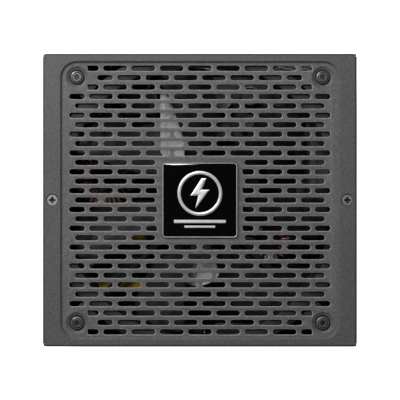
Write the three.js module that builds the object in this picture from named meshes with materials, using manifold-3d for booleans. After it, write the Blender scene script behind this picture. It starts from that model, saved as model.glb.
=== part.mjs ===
// A fully modular ATX power supply unit with a 135 mm fan, fan side up.
// Millimetres, +Z up. The housing is centred on X and Y in its own group. The rocker and the inlet
// stand proud of the rear panel (+Y), so the group is moved to put the whole box on the origin.

import * as THREE from 'three';
import { mergeVertices } from 'three/addons/utils/BufferGeometryUtils.js';
import Module from 'manifold-3d';

// ---- driving dimensions ----
const WIDTH = 150;
const DEPTH = 140;
const HEIGHT = 86;
const SHEET = 1;
const GAP = 0.3;
const HALF_W = WIDTH / 2;
const HALF_D = DEPTH / 2;

// lid
const SKIRT_DROP = 12;
const LIP_DROP = 2.2;
const BEND_RADIUS = 1;
const CORNER_RELIEF = 1.6;
const RECESS_DEPTH = 1;
const RECESS_HALF_W = 66.3;
const RECESS_HALF_D = 66;
const RECESS_CORNER = 7.5;

// slots of the grille, in rows of two kinds that alternate like bricks
const ROWS_EACH_WAY = 14;
const ROW_PITCH = 4.5;
const SLOT_PITCH = 13.5;
const SLOT_LENGTH = 11.35;
const SLOT_WIDTH = 2.6;
const END_SLOT_LENGTH = 7.5;
const END_SLOT_CENTRE = 58.7;
const RAGGED_ROW_END = 53.8;
const SHORT_ROW_END = 49;
const BADGE_ROWS = 4;
const BADGE_SLOT_START = 20.3;

// screws
const FAN_SCREW_AT = 58.75;
const DIMPLE_TOP_R = 5.5;
const DIMPLE_FLOOR_R = 4;
const FAN_SCREW_HOLE_R = 2.4;
const LID_SCREW_X = 70.4;
const LID_SCREW_SINK = [1.9, 3.15];
const TAB_HALF = 7;
const TAB_HOLE_R = 1.7;

// badge
const BADGE_HALF = 18.15;
const BADGE_RIM = 0.8;
const BADGE_CORNER = 2;
const GLUE = 0.15;

// fan
const FAN_TOP = 82.7;
const FAN_THICK = 25;
const FAN_HALF = 67.3;
const FAN_BORE_R = 66.2;
const BLADE_TIP_R = 64.8;
const FAN_FLANGE = 3.5;
const FAN_FLANGE_R = 74;
const FAN_LUG_R = 5.5;
const HUB_R = 21;
const HUB_WALL = 1.6;
const ARM_HALF = 2;
const ARM_TALL = 2.5;
const POST_R = [3.8, 5.2];
const SHAFT_R = 1.5;
const BEARING_R = [1.8, 3.5];
const STATOR_R = [5.6, 17.5];
const BLADES = 7;
const BLADE_THICK = 1.5;
const BLADE_START = -11.5;
const BLADE_SWEEP = 0.1;
const BLADE_CHORD = [0.48, 0.44];
const BLADE_RISE = [17, 12.5];
const BLADE_CAMBER = 1.8;

// rear panel
const HOLE_R = 1.75;
const ATX_HOLES = [[69, 6], [-69, 6], [69, 70], [-45, 80]];
const INLET_AT = [-56, 34];
const SWITCH_AT = [-33, 34];
const VENT_PITCH = 8.4;
const VENT_ACROSS = 7.1;
const VENT_X = [-18, 65];
const VENT_Z = [8, 79];
const INLET_SCREW_AT = 20;
const INLET_SCREW_HOLE_R = 1.9;

// switch rocker, measured from its pivot
const ROCKER_TILT = 9;
const ROCKER_R = 9.2;
const ROCKER_TIP = [7.2, 5.73];
const ROCKER_WIDTH = 11.2;
const BEZEL_OUT = 4.9;
const BEZEL_FACE = HALF_D + 1.2;
const PIVOT_Y = BEZEL_FACE - BEZEL_OUT;

// boards
const BOARD_Z = 8;
const BOARD_THICK = 1.6;
const ON_BOARD = BOARD_Z + BOARD_THICK + GAP;
const BOARD_SCREWS = [[-64, -50], [64, -50], [-64, 61], [64, 61]];
const STANDOFF_R = 3;
const THREAD_R = 1.8;

// sockets on the front panel
const PIN_PITCH = 4.2;
const SOCKET_WALL = 1.2;
const SOCKET_HEIGHT = 10.6;
const SOCKET_DEPTH = 9.3;
const SOCKET_CAVITY = 7.8;
const SOCKET_ROWS = [
  { z: 46, gap: 6, kinds: [24, 8, 8] },
  { z: 26, gap: 4, kinds: [8, 8, 6, 6, 6, 6] },
];

// ---- materials ----
function finish(name, color, roughness, metalness) {
  const material = new THREE.MeshStandardMaterial({ color, roughness, metalness });
  material.name = name;
  return material;
}

const coat = finish('powder_coat', 0x3a3a3c, 0.6, 0.3);
const inside = finish('bare_steel', 0x8d9093, 0.4, 0.9);
const screwSteel = finish('screw_steel', 0x9a9b9d, 0.3, 1);
const darkScrew = finish('dark_screw', 0x6a6a6c, 0.35, 0.9);
const silver = finish('silver_trim', 0xc8cacc, 0.25, 1);
const gloss = finish('gloss_black', 0x08080a, 0.08, 0);
const blackPlastic = finish('black_plastic', 0x1b1b1d, 0.45, 0);
const fanPlastic = finish('fan_plastic', 0x242426, 0.4, 0);
const copper = finish('copper_winding', 0xb8612c, 0.35, 0.9);
const solderMask = finish('circuit_board', 0x15181a, 0.4, 0);
const aluminium = finish('aluminium', 0xc9cbcd, 0.35, 0.95);
const film = finish('insulating_film', 0x25282a, 0.3, 0);
const ferrite = finish('ferrite', 0x3c3d40, 0.6, 0.1);
const tape = finish('transformer_tape', 0xd9a520, 0.4, 0);
const sleeve = finish('capacitor_sleeve', 0x2a2b35, 0.35, 0);
const greyBox = finish('grey_film_case', 0x8b8e8c, 0.5, 0);
const brass = finish('brass', 0xb79a4e, 0.3, 1);

// ---- shapes ----
function rectangle(x0, x1, y0, y1) {
  const shape = new THREE.Shape();
  shape.moveTo(x0, y0);
  shape.lineTo(x1, y0);
  shape.lineTo(x1, y1);
  shape.lineTo(x0, y1);
  shape.closePath();
  return shape;
}

function polygon(points) {
  return new THREE.Shape(points.map(([x, y]) => new THREE.Vector2(x, y)));
}

function regular(sides, radius, x = 0, y = 0, turn = 0) {
  const points = [];
  for (let i = 0; i < sides; i += 1) {
    const angle = turn + (2 * Math.PI * i) / sides;
    points.push([x + radius * Math.cos(angle), y + radius * Math.sin(angle)]);
  }
  return polygon(points);
}

function roundedRectangle(halfX, halfY, radius, steps = 4, x = 0, y = 0) {
  const points = [];
  const corners = [[1, 1, 0], [-1, 1, 1], [-1, -1, 2], [1, -1, 3]];
  for (const [sx, sy, quarter] of corners) {
    for (let i = 0; i <= steps; i += 1) {
      const angle = (quarter + i / steps) * (Math.PI / 2);
      const cx = x + sx * (halfX - radius);
      const cy = y + sy * (halfY - radius);
      points.push([cx + radius * Math.cos(angle), cy + radius * Math.sin(angle)]);
    }
  }
  return polygon(points);
}

// ---- geometry, each closed ----
function prismZ(shapes, z0, z1) {
  const geometry = new THREE.ExtrudeGeometry(shapes, { depth: z1 - z0, bevelEnabled: false });
  return geometry.translate(0, 0, z0);
}

// the shape's own x, y become X, Z
function prismY(shapes, y0, y1) {
  return prismZ(shapes, -y1, -y0).rotateX(Math.PI / 2);
}

// the shape's own x, y become Y, Z
function prismX(shapes, x0, x1) {
  const turn = new THREE.Matrix4().makeBasis(
    new THREE.Vector3(0, 1, 0),
    new THREE.Vector3(0, 0, 1),
    new THREE.Vector3(1, 0, 0),
  );
  return prismZ(shapes, x0, x1).applyMatrix4(turn);
}

function block(x0, x1, y0, y1, z0, z1) {
  return prismZ(rectangle(x0, x1, y0, y1), z0, z1);
}

// profile points are [radius, z]; the axis is Z at x, y
function turned(profile, sides, x = 0, y = 0) {
  const points = profile.map(([r, z]) => new THREE.Vector2(r, z));
  return new THREE.LatheGeometry(points, sides).rotateX(Math.PI / 2).translate(x, y, 0);
}

function rod(radius, z0, z1, sides, x = 0, y = 0) {
  return turned([[0, z0], [radius, z0], [radius, z1], [0, z1]], sides, x, y);
}

function ring(inner, outer, z0, z1, sides, x = 0, y = 0) {
  return turned([[inner, z0], [outer, z0], [outer, z1], [inner, z1], [inner, z0]], sides, x, y);
}

function cone(r0, z0, r1, z1, sides, x = 0, y = 0) {
  return turned([[0, z0], [r0, z0], [r1, z1], [0, z1]], sides, x, y);
}

// ---- booleans ----
const wasm = await Module();
wasm.setup();

function solid(geometry) {
  const bare = geometry.clone();
  bare.deleteAttribute('normal');
  bare.deleteAttribute('uv');
  const merged = mergeVertices(bare, 1e-4);
  return new wasm.Manifold(new wasm.Mesh({
    numProp: 3,
    vertProperties: Float32Array.from(merged.attributes.position.array),
    triVerts: Uint32Array.from(merged.index.array),
  }));
}

function shell(made) {
  const mesh = made.getMesh();
  const geometry = new THREE.BufferGeometry();
  geometry.setAttribute('position', new THREE.BufferAttribute(mesh.vertProperties, 3));
  geometry.setIndex(new THREE.BufferAttribute(mesh.triVerts, 1));
  return geometry;
}

function cut(base, ...tools) {
  return shell(tools.reduce((left, tool) => left.subtract(solid(tool)), solid(base)));
}

function join(...pieces) {
  return shell(pieces.slice(1).reduce((whole, piece) => whole.add(solid(piece)), solid(pieces[0])));
}

// ---- the scene ----
const unit = new THREE.Group();

function place(name, geometry, material, parent = unit) {
  const mesh = new THREE.Mesh(geometry, material);
  mesh.name = name;
  parent.add(mesh);
  return mesh;
}

const CORNERS = [[-1, -1], [1, -1], [-1, 1], [1, 1]];

// ---- lid: a pan with a recessed, slotted panel ----
// One end of a slot, in order round it: pointed, standing for a half circle, or cut straight.
function slotEnd(x, y, side, square) {
  const half = SLOT_WIDTH / 2;
  const inner = x - side * half;
  return square
    ? [[x, y - side * half], [x, y + side * half]]
    : [[inner, y - side * half], [x, y], [inner, y + side * half]];
}

function slot(x0, x1, y, squareLeft = false, squareRight = false) {
  return polygon([...slotEnd(x0, y, -1, squareLeft), ...slotEnd(x1, y, 1, squareRight)]);
}

// [from, to, inner end is square, outer end is square], for the +X half of a row
function halfRow(row) {
  const reach = Math.abs(row);
  const even = row % 2 === 0;
  const half = SLOT_LENGTH / 2;
  const spans = [];
  const first = even ? 1 : 0.5;
  for (let k = first; k <= 4; k += 1) {
    spans.push([k * SLOT_PITCH - half, k * SLOT_PITCH + half, false, false]);
  }
  if (!even) {
    const end = END_SLOT_LENGTH / 2;
    spans.push([END_SLOT_CENTRE - end, END_SLOT_CENTRE + end, false, false]);
  }
  if (reach === ROWS_EACH_WAY || reach === ROWS_EACH_WAY - 2) {
    const last = spans.pop();
    spans.push([last[0], RAGGED_ROW_END, false, true]);
  }
  if (reach === ROWS_EACH_WAY - 1) {
    spans.pop();
    const last = spans.pop();
    spans.push([last[0], SHORT_ROW_END, false, false]);
  }
  if (reach <= BADGE_ROWS) {
    const clear = even ? 2 * SLOT_PITCH - half : BADGE_SLOT_START;
    return spans.filter(([, to]) => to > clear + 1).map(([from, to, inner, outer]) => (
      from < clear - 0.01 ? [clear, to, true, outer] : [from, to, inner, outer]
    ));
  }
  return spans;
}

function slotShapes() {
  const shapes = [];
  for (let row = -ROWS_EACH_WAY; row <= ROWS_EACH_WAY; row += 1) {
    const y = row * ROW_PITCH;
    for (const [from, to, inner, outer] of halfRow(row)) {
      shapes.push(slot(from, to, y, inner, outer));
      shapes.push(slot(-to, -from, y, outer, inner));
    }
    if (row % 2 === 0 && Math.abs(row) > BADGE_ROWS) {
      shapes.push(slot(-SLOT_LENGTH / 2, SLOT_LENGTH / 2, y));
    }
  }
  return shapes;
}

function lidBlank() {
  const flat = roundedRectangle(HALF_W - BEND_RADIUS, HALF_D - BEND_RADIUS, 0.2, 1);
  const low = HEIGHT - SKIRT_DROP - 4;
  const body = new THREE.ExtrudeGeometry(flat, {
    depth: HEIGHT - BEND_RADIUS - low,
    bevelEnabled: true,
    bevelThickness: BEND_RADIUS,
    bevelSize: BEND_RADIUS,
    bevelSegments: 2,
  });
  body.translate(0, 0, low);
  const below = block(-HALF_W - 1, HALF_W + 1, -HALF_D - 1, HALF_D + 1, 0, HEIGHT - SKIRT_DROP);
  const hollow = block(SHEET - HALF_W, HALF_W - SHEET, SHEET - HALF_D, HALF_D - SHEET, 0, HEIGHT - SHEET);
  const aboveLips = block(-HALF_W + SHEET, HALF_W - SHEET, -HALF_D - 1, HALF_D + 1, 0, HEIGHT - LIP_DROP);
  const reliefs = CORNERS.map(([sx, sy]) => block(
    Math.min(sx * (HALF_W + 1), sx * (HALF_W - SHEET - 0.01)),
    Math.max(sx * (HALF_W + 1), sx * (HALF_W - SHEET - 0.01)),
    Math.min(sy * (HALF_D + 1), sy * (HALF_D - CORNER_RELIEF)),
    Math.max(sy * (HALF_D + 1), sy * (HALF_D - CORNER_RELIEF)),
    0,
    HEIGHT - LIP_DROP,
  ));
  return cut(body, below, hollow, aboveLips, ...reliefs);
}

function lid() {
  const floor = HEIGHT - RECESS_DEPTH;
  const dimpleFloor = floor - RECESS_DEPTH;
  const tray = prismZ(
    roundedRectangle(RECESS_HALF_W + SHEET, RECESS_HALF_D + SHEET, RECESS_CORNER + SHEET),
    floor - SHEET,
    floor + 0.5,
  );
  const cups = CORNERS.map(([sx, sy]) => cone(
    DIMPLE_FLOOR_R + SHEET, dimpleFloor - SHEET, DIMPLE_TOP_R + SHEET, floor - SHEET + 0.2, 12,
    sx * FAN_SCREW_AT, sy * FAN_SCREW_AT,
  ));
  const pocket = prismZ(roundedRectangle(RECESS_HALF_W, RECESS_HALF_D, RECESS_CORNER), floor, HEIGHT + 1);
  const dimples = CORNERS.map(([sx, sy]) => cone(
    DIMPLE_FLOOR_R, dimpleFloor, DIMPLE_TOP_R + 0.15, floor + 0.1, 12,
    sx * FAN_SCREW_AT, sy * FAN_SCREW_AT,
  ));
  const fanHoles = CORNERS.map(([sx, sy]) => rod(
    FAN_SCREW_HOLE_R, dimpleFloor - 2 * SHEET, floor, 10, sx * FAN_SCREW_AT, sy * FAN_SCREW_AT,
  ));
  const sinks = [-1, 1].map((side) => cone(
    LID_SCREW_SINK[0], HEIGHT - SHEET - 0.1, LID_SCREW_SINK[1], HEIGHT + 0.1, 16, side * LID_SCREW_X, 0,
  ));
  return cut(
    join(lidBlank(), tray, ...cups),
    pocket,
    ...dimples,
    ...fanHoles,
    ...sinks,
    prismZ(slotShapes(), floor - 3, floor + 1),
  );
}

place('lid', lid(), coat);

// ---- base tray: floor, two side walls joggled in under the lid's skirts, standoffs, screw tabs ----
function baseTray() {
  const seam = HEIGHT - SKIRT_DROP - GAP;
  const inset = SHEET + GAP;
  const top = HEIGHT - SHEET - GAP;
  const side = [
    [HALF_W, 0], [HALF_W, seam], [HALF_W - inset, seam], [HALF_W - inset, top],
    [HALF_W - inset - SHEET, top], [HALF_W - inset - SHEET, seam - SHEET],
    [HALF_W - SHEET, seam - SHEET], [HALF_W - SHEET, SHEET],
  ];
  const mirrored = side.map(([x, z]) => [-x, z]).reverse();
  const section = polygon([...side, ...mirrored]);
  const length = HALF_D - SHEET - GAP;
  const channel = prismY(section, -length, length);
  const tabs = [-1, 1].map((hand) => {
    const inner = hand * (RECESS_HALF_W + SHEET + GAP);
    const outer = hand * (HALF_W - inset - 0.2);
    return block(Math.min(inner, outer), Math.max(inner, outer), -TAB_HALF, TAB_HALF, top - SHEET, top);
  });
  const standoffs = BOARD_SCREWS.map(([x, y]) => rod(STANDOFF_R, SHEET - 0.2, BOARD_Z - GAP, 12, x, y));
  const threads = BOARD_SCREWS.map(([x, y]) => rod(THREAD_R, 2 * SHEET, BOARD_Z, 12, x, y));
  const tabHoles = [-1, 1].map((hand) => rod(TAB_HOLE_R, top - 3, top + 1, 12, hand * LID_SCREW_X, 0));
  return cut(join(channel, ...tabs, ...standoffs), ...threads, ...tabHoles);
}

place('base_tray', baseTray(), coat);

// ---- rear panel: inlet and switch openings, honeycomb vent, four mounting holes ----
function ventShapes() {
  const shapes = [];
  const rowStep = VENT_PITCH * Math.sin(Math.PI / 3);
  const margin = VENT_PITCH / 2;
  let shifted = false;
  for (let z = VENT_Z[0] + margin; z <= VENT_Z[1] - margin; z += rowStep) {
    const start = VENT_X[0] + margin + (shifted ? VENT_PITCH / 2 : 0);
    for (let x = start; x <= VENT_X[1] - margin; x += VENT_PITCH) {
      shapes.push(regular(6, VENT_ACROSS / Math.sqrt(3), x, z, Math.PI / 6));
    }
    shifted = !shifted;
  }
  return shapes;
}

const INLET_BODY = [10.2, 13.9];
const SWITCH_BODY = [6.8, 10.5];

function rearPanel() {
  const top = HEIGHT - LIP_DROP - GAP;
  const plate = prismY(rectangle(-HALF_W, HALF_W, 0, top), HALF_D - SHEET, HALF_D);
  const openings = [
    ...ventShapes(),
    ...ATX_HOLES.map(([x, z]) => regular(12, HOLE_R, x, z)),
    roundedRectangle(INLET_BODY[0] + GAP, INLET_BODY[1] + GAP, 1, 1, ...INLET_AT),
    roundedRectangle(SWITCH_BODY[0] + GAP, SWITCH_BODY[1] + GAP, 1, 1, ...SWITCH_AT),
    ...[-1, 1].map((end) => (
      regular(12, INLET_SCREW_HOLE_R, INLET_AT[0], INLET_AT[1] + end * INLET_SCREW_AT)
    )),
  ];
  return cut(plate, prismY(openings, HALF_D - 3, HALF_D + 3));
}

place('rear_panel', rearPanel(), coat);

// ---- front panel and its sockets ----
function socketLayout() {
  const sockets = [];
  const counts = { 24: 0, 8: 0, 6: 0 };
  for (const { z, gap, kinds } of SOCKET_ROWS) {
    const widths = kinds.map((pins) => (pins / 2) * PIN_PITCH + 2 * SOCKET_WALL);
    const total = widths.reduce((sum, width) => sum + width, 0) + gap * (kinds.length - 1);
    let left = -total / 2;
    kinds.forEach((pins, i) => {
      counts[pins] += 1;
      const suffix = pins === 24 ? '' : `_${counts[pins]}`;
      sockets.push({ name: `socket_${pins}pin${suffix}`, x: left + widths[i] / 2, z, width: widths[i] });
      left += widths[i] + gap;
    });
  }
  return sockets;
}

const SOCKETS = socketLayout();
const SOCKET_MOUTH = 0.2 - HALF_D;

function frontPanel() {
  const top = HEIGHT - LIP_DROP - GAP;
  const plate = prismY(rectangle(-HALF_W, HALF_W, 0, top), -HALF_D, SHEET - HALF_D);
  const windows = SOCKETS.map(({ x, z, width }) => rectangle(
    x - width / 2 - GAP, x + width / 2 + GAP,
    z - SOCKET_HEIGHT / 2 - GAP, z + SOCKET_HEIGHT / 2 + GAP,
  ));
  return cut(plate, prismY(windows, -HALF_D - 1, 3 - HALF_D));
}

function socket(width) {
  const half = width / 2;
  const tall = SOCKET_HEIGHT / 2;
  const body = block(-half, half, 0, SOCKET_DEPTH, -tall, tall);
  const mouth = block(
    SOCKET_WALL - half, half - SOCKET_WALL, -1, SOCKET_CAVITY, SOCKET_WALL - tall, tall - SOCKET_WALL,
  );
  return cut(body, mouth);
}

place('front_panel', frontPanel(), coat);
for (const { name, x, z, width } of SOCKETS) {
  place(name, socket(width), blackPlastic).position.set(x, SOCKET_MOUTH, z);
}
const socketBoardY = SOCKET_MOUTH + SOCKET_DEPTH + GAP;
const socketBoard = rectangle(-64, 64, 12, 56);
place('socket_board', prismY(socketBoard, socketBoardY, socketBoardY + BOARD_THICK), solderMask);

// ---- screws: a head on a plain shank, all pointing down, with a driver recess ----
function phillips(top, arm, width, depth) {
  return [
    block(-arm, arm, -width / 2, width / 2, top - depth, top + 1),
    block(-width / 2, width / 2, -arm, arm, top - depth, top + 1),
  ];
}

function countersunk(headR, headTall, shankR, length) {
  const body = turned([
    [0, -length], [shankR, -length], [shankR, -headTall], [headR, -0.2], [headR, 0], [0, 0],
  ], 12);
  return cut(body, ...phillips(0, 1.35, 0.6, 0.9));
}

function buttonHead(headR, headTall, shankR, length) {
  const body = turned([
    [0, -length], [shankR, -length], [shankR, 0], [headR, 0],
    [headR * 0.9, headTall * 0.6], [headR * 0.5, headTall], [0, headTall],
  ], 12);
  return cut(body, prismZ(regular(6, 1.25 / Math.cos(Math.PI / 6)), 0.3, headTall + 1));
}

function panHead(headR, headTall, shankR, length) {
  const body = turned([
    [0, -length], [shankR, -length], [shankR, 0], [headR, 0], [headR * 0.85, headTall], [0, headTall],
  ], 12);
  return cut(body, ...phillips(headTall, 1.5, 0.6, 1));
}

['left', 'right'].forEach((hand, i) => {
  const screw = place(`lid_screw_${hand}`, countersunk(2.6, 1.1, 1.4, 8), screwSteel);
  screw.position.set((2 * i - 1) * LID_SCREW_X, 0, HEIGHT - 0.1);
});

CORNERS.forEach(([sx, sy], i) => {
  const screw = place(`fan_screw_${i + 1}`, buttonHead(2.9, 1.5, 1.9, 12), darkScrew);
  screw.position.set(sx * FAN_SCREW_AT, sy * FAN_SCREW_AT, HEIGHT - 2 * RECESS_DEPTH + 0.1);
});

BOARD_SCREWS.forEach(([x, y], i) => {
  const screw = place(`board_screw_${i + 1}`, panHead(2.9, 2, 1.5, 7), screwSteel);
  screw.position.set(x, y, ON_BOARD);
});

// ---- badge on the middle of the recessed panel ----
function bolt(size) {
  const outline = [
    [0.12, 1], [-0.62, -0.14], [-0.1, -0.14], [-0.3, -1], [0.62, 0.24], [0.1, 0.24], [0.42, 1],
  ];
  return polygon(outline.map(([x, y]) => [x * size, y * size]));
}

const badgeBase = HEIGHT - RECESS_DEPTH + GLUE;
const rimShape = roundedRectangle(BADGE_HALF, BADGE_HALF, BADGE_CORNER, 3);
rimShape.holes.push(roundedRectangle(
  BADGE_HALF - BADGE_RIM, BADGE_HALF - BADGE_RIM, BADGE_CORNER - BADGE_RIM, 3,
));
const faceHalf = BADGE_HALF - BADGE_RIM - GLUE;
const faceShape = roundedRectangle(faceHalf, faceHalf, BADGE_CORNER - BADGE_RIM, 3);
place('badge_rim', prismZ(rimShape, badgeBase, HEIGHT), silver);
place('badge_plate', prismZ(faceShape, badgeBase, badgeBase + 0.5), gloss);
const emblem = place('badge_emblem', prismZ(bolt(8), badgeBase + 0.6, HEIGHT), silver);
emblem.position.y = 3.5;

// ---- fan: frame, motor mount, stator, bearing, shaft, rotor and lead ----
const fanBottom = FAN_TOP - FAN_THICK;

// a round flange cut off square at its four sides, with a lug out to each corner screw
function fanFlange(z0, z1) {
  const round = [];
  for (let i = 0; i < 56; i += 1) {
    const angle = (2 * Math.PI * (i + 0.5)) / 56;
    round.push([Math.cos(angle), Math.sin(angle)].map((unitLength) => (
      THREE.MathUtils.clamp(FAN_FLANGE_R * unitLength, -FAN_HALF, FAN_HALF)
    )));
  }
  const lugs = CORNERS.flatMap(([sx, sy]) => [
    rod(FAN_LUG_R, z0, z1, 16, sx * FAN_SCREW_AT, sy * FAN_SCREW_AT),
    block(FAN_BORE_R + 3, FAN_SCREW_AT * Math.SQRT2, -FAN_LUG_R, FAN_LUG_R, z0, z1)
      .rotateZ(Math.atan2(sy, sx)),
  ]);
  return join(prismZ(polygon(round), z0, z1), ...lugs);
}

function fanFrame() {
  const flanges = [
    fanFlange(FAN_TOP - FAN_FLANGE, FAN_TOP),
    fanFlange(fanBottom, fanBottom + FAN_FLANGE),
  ];
  const tunnel = rod(FAN_BORE_R, fanBottom - 1, FAN_TOP + 1, 40);
  const wall = rod(FAN_HALF, fanBottom + 1, FAN_TOP - 1, 40);
  const holes = CORNERS.map(([sx, sy]) => rod(
    2.3, fanBottom - 1, FAN_TOP + 1, 12, sx * FAN_SCREW_AT, sy * FAN_SCREW_AT,
  ));
  return cut(join(...flanges, wall), tunnel, ...holes);
}

// the disc that carries the motor, with its arms and bearing post; the arms stop just short of the bore
function motorMount() {
  const reach = FAN_BORE_R - GAP - 0.1;
  const arms = [0, 1, 2, 3].map((i) => (
    block(HUB_R - 3, reach, -ARM_HALF, ARM_HALF, fanBottom, fanBottom + ARM_TALL)
      .rotateZ((i + 0.5) * (Math.PI / 2))
  ));
  const base = rod(HUB_R, fanBottom, fanBottom + 2, 24);
  const post = ring(...POST_R, fanBottom + 1, fanBottom + 17, 16);
  return join(...arms, base, post);
}

// a blade is a thin box bent round the hub: across runs root to tip, along runs leading to trailing
function blade(index) {
  const geometry = new THREE.BoxGeometry(1, 1, 1, 3, 3, 1);
  const position = geometry.attributes.position;
  for (let i = 0; i < position.count; i += 1) {
    const across = position.getX(i) + 0.5;
    const along = position.getY(i) + 0.5;
    const radius = HUB_R - 1 + across * (BLADE_TIP_R - HUB_R + 1);
    const start = THREE.MathUtils.degToRad(BLADE_START) + (index * 2 * Math.PI) / BLADES;
    const chord = THREE.MathUtils.lerp(...BLADE_CHORD, across);
    const angle = start + BLADE_SWEEP * across * across + (along - 0.5) * chord;
    const rise = THREE.MathUtils.lerp(...BLADE_RISE, across) * (along - 0.5);
    const camber = BLADE_CAMBER * Math.sin(Math.PI * along);
    const z = FAN_TOP - FAN_THICK / 2 + rise + camber + position.getZ(i) * BLADE_THICK;
    position.setXYZ(i, radius * Math.cos(angle), radius * Math.sin(angle), z);
  }
  return geometry;
}

function fanRotor() {
  const low = fanBottom + 3.5;
  const high = FAN_TOP - 1.5;
  const inner = HUB_R - HUB_WALL;
  const cup = turned([
    [inner, low], [HUB_R, low], [HUB_R, high - 1.5], [HUB_R - 1.5, high], [1.8, high],
    [1.8, high - 4.5], [4, high - 4.5], [4, high - 1.8], [inner, high - 1.8], [inner, low],
  ], 32);
  const blades = [];
  for (let i = 0; i < BLADES; i += 1) {
    blades.push(blade(i));
  }
  const drilled = rod(inner, low - 5, high - 1.9, 32);
  const swept = cut(join(...blades), drilled);
  return join(cup, swept);
}

place('fan_frame', fanFrame(), fanPlastic);
place('fan_motor_mount', motorMount(), fanPlastic);
place('fan_rotor', fanRotor(), fanPlastic);
place('fan_shaft', rod(SHAFT_R, fanBottom + 2.8, FAN_TOP - 2, 12), inside);
place('fan_bearing', ring(...BEARING_R, fanBottom + 2.4, fanBottom + 16.5, 16), brass);
place('fan_stator', ring(...STATOR_R, fanBottom + 4.5, fanBottom + 15.5, 16), copper);

// ---- AC inlet on the rear panel, standing on end, with its blades ----
// the cavity narrows on the side of the earth blade
const INLET_FLANGE = [11.2, 25];
const INLET_CAVITY = [8.25, 12];
const INLET_DEEP = 17;
const INLET_FACE = BEZEL_FACE;

function inletCavity(grow) {
  const [wide, tall] = INLET_CAVITY.map((half) => half + grow);
  return polygon([
    [-wide, -tall], [wide - 4.5, -tall], [wide, -tall + 4.5], [wide, tall - 4.5], [wide - 4.5, tall],
    [-wide, tall],
  ]);
}

function acInlet() {
  const flange = prismY(roundedRectangle(...INLET_FLANGE, 3, 3), HALF_D + 0.1, INLET_FACE);
  const body = prismY(roundedRectangle(...INLET_BODY, 0.8, 1), INLET_FACE - INLET_DEEP - 3, HALF_D + 0.5);
  const cavity = prismY(inletCavity(0), INLET_FACE - INLET_DEEP, INLET_FACE + 1);
  const slots = INLET_PINS.map(([, x, z, w, h]) => prismY(
    rectangle(x - w / 2 - GAP, x + w / 2 + GAP, z - h / 2 - GAP, z + h / 2 + GAP),
    INLET_FACE - INLET_DEEP - 5,
    INLET_FACE,
  ));
  const sinks = [-INLET_SCREW_AT, INLET_SCREW_AT].map((z) => (
    prismY(regular(12, INLET_SCREW_HOLE_R, 0, z), HALF_D - 1, INLET_FACE + 1)
  ));
  return cut(join(flange, body), cavity, ...slots, ...sinks);
}

// name, x and z from the cavity's middle, width, height
const INLET_PINS = [
  ['inlet_pin_earth', 2, 0, 4, 2],
  ['inlet_pin_live', -2, 7, 4, 2],
  ['inlet_pin_neutral', -2, -7, 4, 2],
];
const inletAt = new THREE.Group();
inletAt.position.set(INLET_AT[0], 0, INLET_AT[1]);
unit.add(inletAt);
place('ac_inlet', acInlet(), blackPlastic, inletAt);
for (const [name, x, z, w, h] of INLET_PINS) {
  const flat = rectangle(x - w / 2, x + w / 2, z - h / 2, z + h / 2);
  place(name, prismY(flat, INLET_FACE - INLET_DEEP - 6, INLET_FACE - 5), brass, inletAt);
}
['lower', 'upper'].forEach((end, i) => {
  const screw = place(`inlet_screw_${end}`, panHead(2.7, 1.4, 1.5, 6), screwSteel, inletAt);
  screw.rotation.x = -Math.PI / 2;
  screw.position.set(0, INLET_FACE + 0.1, (2 * i - 1) * INLET_SCREW_AT);
});

// ---- power switch: housing with a see-saw rocker ----
const SWITCH_FLANGE = [7.6, 12];

function switchHousing() {
  const flange = prismY(roundedRectangle(...SWITCH_FLANGE, 1, 2), HALF_D + 0.1, BEZEL_FACE);
  const body = prismY(roundedRectangle(...SWITCH_BODY, 0.8, 1), PIVOT_Y - 9, HALF_D + 0.5);
  const mouth = ROCKER_R * Math.cos(Math.asin(BEZEL_OUT / ROCKER_R)) + 0.35;
  const well = polygon([
    [-7, -ROCKER_R - GAP], [0.5, -ROCKER_R - GAP], [BEZEL_OUT, -mouth], [BEZEL_OUT + 1, -mouth],
    [BEZEL_OUT + 1, mouth], [BEZEL_OUT, mouth], [0.5, ROCKER_R + GAP], [-7, ROCKER_R + GAP],
  ].map(([y, z]) => [y + PIVOT_Y, z]));
  const half = ROCKER_WIDTH / 2 + GAP;
  const axle = prismX(regular(12, 1.8, PIVOT_Y, 0), -20, 20);
  return cut(join(flange, body), prismX(well, -half, half), axle);
}

function rocker() {
  const [tipZ, tipY] = ROCKER_TIP;
  const middleY = tipY - tipZ * Math.tan(THREE.MathUtils.degToRad(ROCKER_TILT));
  const start = Math.atan2(tipY, tipZ);
  const end = -0.35;
  const right = [];
  for (let i = 0; i <= 5; i += 1) {
    const angle = start + ((end - start) * i) / 5;
    right.push([ROCKER_R * Math.sin(angle), ROCKER_R * Math.cos(angle)]);
  }
  const left = right.map(([y, z]) => [y, -z]).reverse();
  const body = prismX(polygon([[middleY, 0], ...right, ...left]), -ROCKER_WIDTH / 2, ROCKER_WIDTH / 2);
  const axle = prismX(regular(12, 1.5), -ROCKER_WIDTH / 2 - 1, ROCKER_WIDTH / 2 + 1);
  return join(body, axle);
}

const switchAt = new THREE.Group();
switchAt.position.set(SWITCH_AT[0], 0, SWITCH_AT[1]);
unit.add(switchAt);
place('switch_housing', switchHousing(), blackPlastic, switchAt);
const rockerMesh = place('switch_rocker', rocker(), blackPlastic, switchAt);
rockerMesh.position.y = PIVOT_Y;
rockerMesh.rotation.x = -THREE.MathUtils.degToRad(ROCKER_TILT);

// ---- main board and the sheet that insulates it ----
function drilledSheet(halfX, y0, y1, z0, z1, holeR) {
  const holes = BOARD_SCREWS.map(([x, y]) => rod(holeR, z0 - 1, z1 + 1, 12, x, y));
  return cut(block(-halfX, halfX, y0, y1, z0, z1), ...holes);
}

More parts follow.
